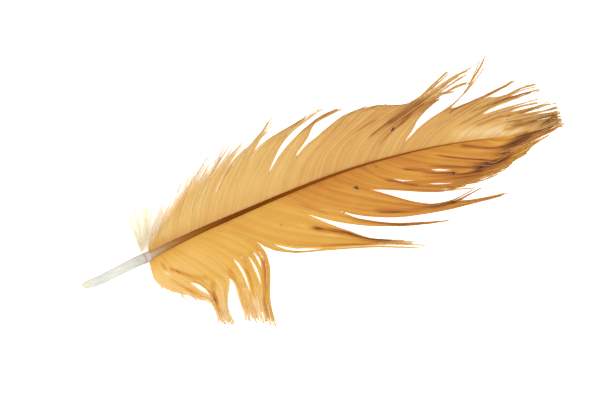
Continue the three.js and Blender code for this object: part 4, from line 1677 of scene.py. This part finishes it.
class Wire:
    """A node's output whose arithmetic adds maths nodes to its board."""

    def __init__(self, board: "Board", socket: bpy.types.NodeSocket) -> None:
        """Keeps the board and the socket."""
        self.board = board
        self.socket = socket

    def __add__(self, other: "Wire | float") -> "Wire":
        """The sum."""
        return self.board.maths("ADD", self, other)

    def __radd__(self, other: float) -> "Wire":
        """The sum, from the right."""
        return self.board.maths("ADD", other, self)

    def __sub__(self, other: "Wire | float") -> "Wire":
        """The difference."""
        return self.board.maths("SUBTRACT", self, other)

    def __rsub__(self, other: float) -> "Wire":
        """The difference, from the right."""
        return self.board.maths("SUBTRACT", other, self)

    def __mul__(self, other: "Wire | float") -> "Wire":
        """The product."""
        return self.board.maths("MULTIPLY", self, other)

    def __rmul__(self, other: float) -> "Wire":
        """The product, from the right."""
        return self.board.maths("MULTIPLY", other, self)

    def __truediv__(self, other: "Wire | float") -> "Wire":
        """The quotient."""
        return self.board.maths("DIVIDE", self, other)

    def __rtruediv__(self, other: float) -> "Wire":
        """The quotient, from the right."""
        return self.board.maths("DIVIDE", other, self)

    def sine(self) -> "Wire":
        """The sine."""
        return self.board.maths("SINE", self)

    def distance(self) -> "Wire":
        """The value without its sign."""
        return self.board.maths("ABSOLUTE", self)


class Board:
    """A material's node tree and short ways to add to it."""

    def __init__(self, name: str) -> None:
        """Starts an empty material.

        Args:
            name: What it is called.
        """
        self.material = bpy.data.materials.new(name)
        self.material.use_nodes = True
        self.tree = self.material.node_tree
        self.tree.nodes.clear()

    def node(self, kind: str, settings: dict | None = None, sockets: dict | None = None) -> bpy.types.Node:
        """Adds a node.

        Args:
            kind: The node's type.
            settings: Its properties, set before its sockets.
            sockets: A value or a wire for some inputs, by name or number.

        Returns:
            The node.
        """
        node = self.tree.nodes.new(kind)
        for key, value in (settings or {}).items():
            setattr(node, key, value)
        for key, value in (sockets or {}).items():
            if isinstance(value, Wire):
                self.tree.links.new(value.socket, node.inputs[key])
            elif isinstance(value, bpy.types.NodeSocket):
                self.tree.links.new(value, node.inputs[key])
            else:
                node.inputs[key].default_value = value
        return node

    def wire(
        self, kind: str, settings: dict | None = None, sockets: dict | None = None, output: str | int = 0
    ) -> Wire:
        """Adds a node and gives one of its outputs."""
        return Wire(self, self.node(kind, settings, sockets).outputs[output])

    def maths(self, operation: str, *values: "Wire | float") -> Wire:
        """Adds a maths node over one or two values."""
        return self.wire("ShaderNodeMath", {"operation": operation}, dict(enumerate(values)))

    def attribute(self, name: str) -> Wire:
        """A number kept on the mesh."""
        return self.wire("ShaderNodeAttribute", {"attribute_name": name}, None, "Fac")

    def place(self) -> Wire:
        """The point on the piece."""
        return self.wire("ShaderNodeTexCoord", None, None, "Object")

    def noise(self, place: Wire, scale: float, detail: float) -> Wire:
        """Soft random numbers from 0 to 1."""
        sockets = {"Vector": place, "Scale": scale, "Detail": detail}
        return self.wire("ShaderNodeTexNoise", None, sockets)

    def bump(self, height: Wire, strength: float, depth: float) -> Wire:
        """A direction of the surface that follows a height."""
        sockets = {"Strength": strength, "Distance": depth, "Height": height}
        return self.wire("ShaderNodeBump", None, sockets, "Normal")

    def parts(self, vector: Wire) -> tuple[Wire, Wire]:
        """The x and the y of a vector."""
        node = self.node("ShaderNodeSeparateXYZ", None, {0: vector})
        return Wire(self, node.outputs[0]), Wire(self, node.outputs[1])

    def ramp(self, value: Wire, stops: Stops) -> Wire:
        """Colours blended along a value.

        Args:
            value: A number from 0 to 1.
            stops: Places from 0 to 1 and their colours.

        Returns:
            The colour.
        """
        node = self.node("ShaderNodeValToRGB", None, {"Fac": value})
        elements = node.color_ramp.elements
        while len(elements) < len(stops):
            elements.new(0.5)
        for element, (place, colour) in zip(elements, stops):
            element.position = place
            element.color = linear(colour)
        return Wire(self, node.outputs["Color"])

    def mix(self, factor: "Wire | float", first: "Wire | tuple", second: "Wire | tuple") -> Wire:
        """A blend of two colours."""
        settings = {"data_type": "RGBA"}
        return self.wire("ShaderNodeMix", settings, {0: factor, 6: first, 7: second}, 2)

    def skin(self, sockets: dict) -> bpy.types.Node:
        """The main surface shader."""
        return self.node("ShaderNodeBsdfPrincipled", None, sockets)

    def finish(self, surface: bpy.types.Node) -> bpy.types.Material:
        """Ends the tree with a surface shader."""
        self.node("ShaderNodeOutputMaterial", None, {"Surface": surface.outputs[0]})
        return self.material


def linear(colour: Colour) -> tuple[float, float, float, float]:
    """A display colour as the renderer's linear one.

    Args:
        colour: Its red, green and blue, from 0 to 255.

    Returns:
        The same from 0 to 1, and full opacity.
    """
    shares = np.array(colour) / 255
    curve = ((shares + SRGB_SHIFT) / (1 + SRGB_SHIFT)) ** SRGB_POWER
    return (*np.where(shares <= SRGB_DARK, shares / SRGB_SLOPE, curve).tolist(), 1.0)


@dataclass(frozen=True)
class BarbFinish:
    """Barbs: cream to brown by their shade, with light coming through where they lie thin."""

    name: str
    stops: Stops
    light_through: Colour
    through: float = 0.35
    # An emission in the colour of the light coming through: painted light that brightens the barbs
    painted_glow: float = 0.0
    roughness: float = 0.75
    specular: float = 0.02
    # How much clouds, grain and the painted light and shade across each barb, paler on its crest and darker
    # at its edges, change the shade, and how fine the first two are
    mottle: float = 0.10
    grain: float = 0.08
    ridge_light_shade: float = 0.05
    cloud_scale: float = 160.0
    cloud_detail: float = 3.0
    grain_scale: float = 2600.0
    grain_detail: float = 2.0
    # Barbules: how far they slant over half a barb, how many there are to a millimetre, and their relief
    slant: float = 3.0
    barbules: float = 7.0
    relief: float = 0.35
    relief_depth: float = 0.02 * MM

    def make(self) -> bpy.types.Material:
        """Builds the material.

        Returns:
            The material, which reads the mesh's shade, ridge and UV map.
        """
        board = Board(self.name)
        place = board.place()
        cloud = board.noise(place, self.cloud_scale, self.cloud_detail) - 0.5
        grain = board.noise(place, self.grain_scale, self.grain_detail) - 0.5
        # Painted light and shade across each barb: paler along its crest, darker at its edges
        ridge_light_shade = 0.5 - board.attribute("ridge_light_shade")
        tone = board.attribute("shade") + cloud * self.mottle + grain * self.grain + ridge_light_shade * self.ridge_light_shade
        across, run = board.parts(board.wire("ShaderNodeUVMap", {"uv_map": "barb"}))
        barbules = (((across - 0.5).distance() * self.slant + run * self.barbules) * (2 * math.pi)).sine()
        bump = board.bump(barbules, self.relief, self.relief_depth)
        skin = board.skin(
            {
                "Base Color": board.ramp(tone, self.stops),
                "Roughness": self.roughness,
                "Specular IOR Level": self.specular,
                "Emission Color": linear(self.light_through),
                "Emission Strength": self.painted_glow,
                "Normal": bump,
            }
        )
        through = {"Color": linear(self.light_through), "Normal": bump}
        lit = board.node("ShaderNodeBsdfTranslucent", None, through)
        shaders = {0: self.through * (1.0 - tone), 1: skin.outputs[0], 2: lit.outputs[0]}
        return board.finish(board.node("ShaderNodeMixShader", None, shaders))


@dataclass(frozen=True)
class QuillFinish:
    """The rod: horn-white at the butt, grey and tan past the ring, then brown with a faint gloss."""

    name: str
    plan: Plan
    # Traced x and colour at that place
    stops: Stops = (
        (83, (214, 211, 178)), (92, (204, 205, 193)), (104, (201, 203, 193)), (116, (209, 210, 200)),
        (132, (199, 199, 186)), (141, (187, 183, 174)), (145.6, (184, 180, 172)), (146.5, (172, 140, 120)),
        (147.6, (182, 168, 162)), (150.4, (190, 181, 172)), (152, (176, 152, 128)), (160, (166, 134, 98)),
        (170, (155, 110, 66)), (182, (139, 87, 41)), (198, (126, 75, 20)), (228, (102, 48, 1)),
        (270, (106, 49, 1)), (320, (120, 58, 3)), (400, (130, 70, 10)), (470, (142, 84, 22)),
        (535, (170, 112, 54)),
    )
    dark: Colour = (96, 50, 10)
    # Streaks along the rod: how drawn out and fine they are, and what they change
    drawn_out: tuple[float, float, float] = (0.06, 1.0, 1.0)
    streak_scale: float = 2400.0
    streak_detail: float = 3.0
    streak_shift: float = 0.012
    streak_dark: float = 0.5
    streak_rough: float = 0.1
    roughness: float = 0.5
    specular: float = 0.03
    relief: float = 0.3
    relief_depth: float = 0.02 * MM
    # How dark it is all over, and the painted shade that darkens its rims and more to its left
    darkness: float = 0.06
    rim: float = 0.22
    rim_shade_power: float = 3.0
    left: float = 0.05

    def make(self) -> bpy.types.Material:
        """Builds the material.

        Returns:
            The material, which reads places on the piece and the mesh's side.
        """
        board = Board(self.name)
        place = board.place()
        line = self.plan.shaft()
        near, far = float(line[0, 0]), float(line[-1, 0])
        places = np.interp([x for x, _ in self.stops], self.plan.traced(line)[:, 0], line[:, 0])
        marks = ((places - near) / (far - near)).tolist()
        reach = (board.parts(place)[0] - near) / (far - near)
        fine = board.wire("ShaderNodeMapping", None, {"Vector": place, "Scale": self.drawn_out})
        streaks = board.noise(fine, self.streak_scale, self.streak_detail) - 0.5
        stops = tuple((mark, colour) for mark, (_, colour) in zip(marks, self.stops))
        colour = board.ramp(reach + streaks * self.streak_shift, stops)
        # Painted shade: darker towards the rod's rims and on its left side
        side = board.attribute("side")
        rim = board.maths("POWER", side.distance(), self.rim_shade_power) * self.rim + side * self.left
        darker = streaks * self.streak_dark + self.darkness + rim
        skin = board.skin(
            {
                "Base Color": board.mix(darker, colour, linear(self.dark)),
                "Roughness": self.roughness + streaks * self.streak_rough,
                "Specular IOR Level": self.specular,
                "Normal": board.bump(streaks, self.relief, self.relief_depth),
            }
        )
        return board.finish(skin)


@dataclass(frozen=True)
class DirtFinish:
    """Dry crumbs: brown to blue-black, dull."""

    name: str
    stops: Stops = (
        (0.0, (196, 138, 78)), (0.45, (150, 98, 58)), (0.7, (98, 64, 44)), (1.0, (38, 36, 44)),
    )
    roughness: float = 0.8
    grain: float = 0.25
    grain_scale: float = 4200.0
    grain_detail: float = 3.0
    relief: float = 0.6
    relief_depth: float = 0.04 * MM

    def make(self) -> bpy.types.Material:
        """Builds the material.

        Returns:
            The material, which reads the mesh's shade.
        """
        board = Board(self.name)
        grain = board.noise(board.place(), self.grain_scale, self.grain_detail) - 0.5
        skin = board.skin(
            {
                "Base Color": board.ramp(board.attribute("shade") + grain * self.grain, self.stops),
                "Roughness": self.roughness,
                "Normal": board.bump(grain, self.relief, self.relief_depth),
            }
        )
        return board.finish(skin)


Finish = BarbFinish | QuillFinish | DirtFinish


def dressed(piece: Piece, finish: Finish) -> Piece:
    """Gives a piece its finish.

    Args:
        piece: The piece.
        finish: What it is dressed in.

    Returns:
        The same piece.
    """
    piece.data.materials.clear()
    piece.data.materials.append(finish.make())
    return piece


def joined(pieces: list[Piece], name: str) -> Piece:
    """Joins pieces into the first of them.

    Args:
        pieces: The pieces.
        name: What the result is called.

    Returns:
        The result.
    """
    bpy.ops.object.select_all(action="DESELECT")
    for piece in pieces:
        piece.select_set(True)
    bpy.context.view_layer.objects.active = pieces[0]
    bpy.ops.object.join()
    pieces[0].name = pieces[0].data.name = name
    return pieces[0]


@dataclass
class Studio:
    """The white table, the soft light and the camera that looks straight down."""

    plan: Plan
    lens: float = 200.0
    sensor: float = 36.0
    table: float = 1.2
    table_colour: Colour = (250, 250, 250)
    table_roughness: float = 0.7
    table_glow: float = 0.75
    lamps: Points = ((-0.55, 0.35), (0.6, -0.1))
    lamp_size: float = 0.9
    lamp_height: float = 1.3
    lamp_power: float = 7.5
    sky: float = 0.9
    white: Colour = (255, 255, 255)

    def build(self) -> None:
        """Sets up the table, the lamps, the camera and plain colours."""
        self._table()
        self._lamps()
        self._camera()
        view = bpy.context.scene.view_settings
        view.view_transform = "Standard"
        view.look = "None"

    def _table(self) -> None:
        """A white table that glows a little, as paper on a light box does."""
        bpy.ops.object.select_all(action="DESELECT")
        bpy.ops.mesh.primitive_plane_add(size=self.table, location=(0, 0, 0))
        floor = bpy.context.active_object
        floor.name = "table"
        board = Board("table_white")
        skin = board.skin(
            {
                "Base Color": linear(self.table_colour),
                "Roughness": self.table_roughness,
                "Emission Color": linear(self.white),
                "Emission Strength": self.table_glow,
            }
        )
        floor.data.materials.append(board.finish(skin))

    def _lamps(self) -> None:
        """Two wide lamps over the table and an even sky."""
        for i, (x, y) in enumerate(self.lamps):
            data = bpy.data.lights.new(f"lamp_{i}", "AREA")
            data.size = self.lamp_size
            data.energy = self.lamp_power
            lamp = bpy.data.objects.new(f"lamp_{i}", data)
            lamp.location = (x, y, self.lamp_height)
            lamp.rotation_euler = (-math.atan2(y, self.lamp_height), math.atan2(x, self.lamp_height), 0)
            bpy.context.scene.collection.objects.link(lamp)
        world = bpy.data.worlds.new("sky")
        world.use_nodes = True
        back = world.node_tree.nodes["Background"]
        back.inputs["Color"].default_value = linear(self.white)
        back.inputs["Strength"].default_value = self.sky
        bpy.context.scene.world = world

    def _camera(self) -> None:
        """A long lens straight above the middle of the traced picture."""
        data = bpy.data.cameras.new("camera")
        data.lens = self.lens
        data.sensor_width = self.sensor
        width = IMAGE_SIZE[0] * self.plan.scale
        camera = bpy.data.objects.new("camera", data)
        x, y = self.plan.place(((IMAGE_SIZE[0] / 2, IMAGE_SIZE[1] / 2),))[0]
        camera.location = (x, y, self.lens / self.sensor * width)
        camera.rotation_euler = (0, 0, -self.plan.tilt)
        bpy.context.scene.collection.objects.link(camera)
        bpy.context.scene.camera = camera


def report(piece: Piece) -> None:
    """Puts a finished piece in the feather's place and logs it.

    Args:
        piece: The piece.
    """
    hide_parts("feather")
    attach(piece, "root")
    count = sum(len(face.vertices) - 2 for face in piece.data.polygons)
    LOG.info("%s: %d triangles", piece.name, count)


UPPER_FINISH = BarbFinish(
    "upper_barbs",
    (
        (0.0, (252, 241, 220)), (0.15, (239, 216, 169)), (0.3, (227, 192, 120)), (0.4, (219, 177, 105)),
        (0.5, (210, 161, 96)), (0.62, (191, 137, 75)), (0.75, (168, 112, 60)), (0.88, (132, 84, 48)),
        (1.0, (92, 56, 34)),
    ),
    (250, 204, 124),
)
LOWER_FINISH = BarbFinish(
    "lower_barbs",
    (
        (0.0, (252, 234, 182)), (0.15, (243, 209, 131)), (0.3, (230, 186, 94)), (0.4, (220, 167, 79)),
        (0.5, (211, 152, 70)), (0.62, (194, 126, 56)), (0.75, (160, 102, 54)), (0.88, (126, 78, 48)),
        (1.0, (86, 50, 34)),
    ),
    (250, 190, 92),
)
# The down's faint emission is painted light that brightens the tuft
DOWN_FINISH = BarbFinish(
    "down_barbs",
    (
        (0.0, (255, 253, 244)), (0.2, (254, 245, 220)), (0.4, (246, 226, 180)), (0.6, (226, 184, 120)),
        (1.0, (180, 120, 60)),
    ),
    (255, 250, 236),
    through=0.6,
    painted_glow=0.05,
)
# The traced x where each vane begins, past the bare quill, and the first upper lock with vane barbs
UPPER_FOOT = 145.0
LOWER_FOOT = 149.0
FIRST_BARBED_LOCK = 5

UPPER_HABIT = Habit(
    tones=(
        (145, 0.36), (160, 0.32), (185, 0.32), (205, 0.37), (250, 0.36), (275, 0.38), (305, 0.43),
        (340, 0.47), (400, 0.48), (440, 0.45), (480, 0.36), (536, 0.42),
    ),
    frays=(
        (145, 0.5), (180, 0.4), (230, 0.25), (300, 0.15), (350, 0.35), (395, 0.3), (430, 0.45),
        (470, 0.6), (536, 0.6),
    ),
    thins=((145, 0.4), (158, 0.55), (170, 0.8), (185, 0.9), (300, 1.0), (420, 1.0), (536, 0.9)),
    # Mostly painted light at the barbs' ends
    fades=(
        (145, -0.44), (160, -0.4), (180, -0.3), (215, -0.2), (245, -0.04), (330, 0.0), (350, -0.12),
        (375, -0.12), (395, -0.06), (430, -0.06), (490, -0.02), (536, 0.06),
    ),
    wisps=((145, 0.6), (185, 0.5), (250, 0.4), (400, 0.4), (536, 0.3)),
    grains=((145, 1.0), (250, 1.0), (340, 1.3), (440, 1.8), (536, 2.3)),
    # Painted shade at the shaft
    feet=((145, 0.3), (160, 0.26), (175, 0.2), (200, 0.13), (235, 0.08), (280, 0.03), (536, 0.02)),
    rags=((145, 0.2), (200, 0.2), (250, 0.18), (300, 0.12), (400, 0.12), (536, 0.12)),
)
LOWER_HABIT = Habit(
    tones=(
        (149, 0.12), (156, 0.2), (166, 0.28), (190, 0.32), (215, 0.36), (240, 0.36), (265, 0.36),
        (285, 0.46), (300, 0.54), (440, 0.53), (536, 0.48),
    ),
    frays=(
        (149, 0.06), (172, 0.08), (215, 0.12), (240, 0.25), (340, 0.25), (400, 0.35), (470, 0.35),
        (536, 0.45),
    ),
    thins=((149, 0.6), (154, 0.8), (162, 1.0), (400, 1.0), (450, 0.95), (536, 0.9)),
    # Mostly painted light at the barbs' ends
    fades=((149, -0.2), (190, -0.24), (215, -0.2), (245, -0.02), (400, 0.0), (536, 0.04)),
    wisps=((149, 0.35), (180, 0.25), (215, 0.25), (230, 0.35), (300, 0.35), (536, 0.4)),
    grains=((149, 1.0), (250, 1.0), (400, 1.4), (440, 1.8), (536, 2.2)),
    # Painted shade at the shaft
    feet=((149, 0.26), (160, 0.16), (180, 0.09), (240, 0.04), (300, 0.08), (536, 0.06)),
    rags=((149, 0.05), (175, 0.05), (190, 0.1), (215, 0.1), (300, 0.12), (536, 0.15)),
)


def main() -> None:
    """Builds the feather and its studio."""
    logging.basicConfig(level=logging.INFO, format="%(message)s")
    plan = Plan()
    upper = Vane(
        plan, Side.UPPER, UPPER_LOCKS, UPPER_FOOT, UPPER_LIGHT_AND_SHADE, UPPER_HABIT, first_grown=FIRST_BARBED_LOCK
    )
    lower = Vane(plan, Side.LOWER, LOWER_LOCKS, LOWER_FOOT, LOWER_LIGHT_AND_SHADE, LOWER_HABIT, seed=SEED + 3)
    report(upper.build("upper_vane", UPPER_FINISH))
    report(lower.build("lower_vane", LOWER_FINISH))
    report(Shaft(plan).build("quill_shaft", QuillFinish("quill_horn", plan)))
    report(Down(upper).build("down_tuft", DOWN_FINISH))
    report(Fringe(plan, (upper, lower), STRAYS, FUZZ).build("fringe_hairs", UPPER_FINISH))
    report(Dirt(plan, (upper, lower)).build("dirt_specks", DirtFinish("dry_dirt")))
    Studio(plan).build()


if __name__ == "__main__":
    main()
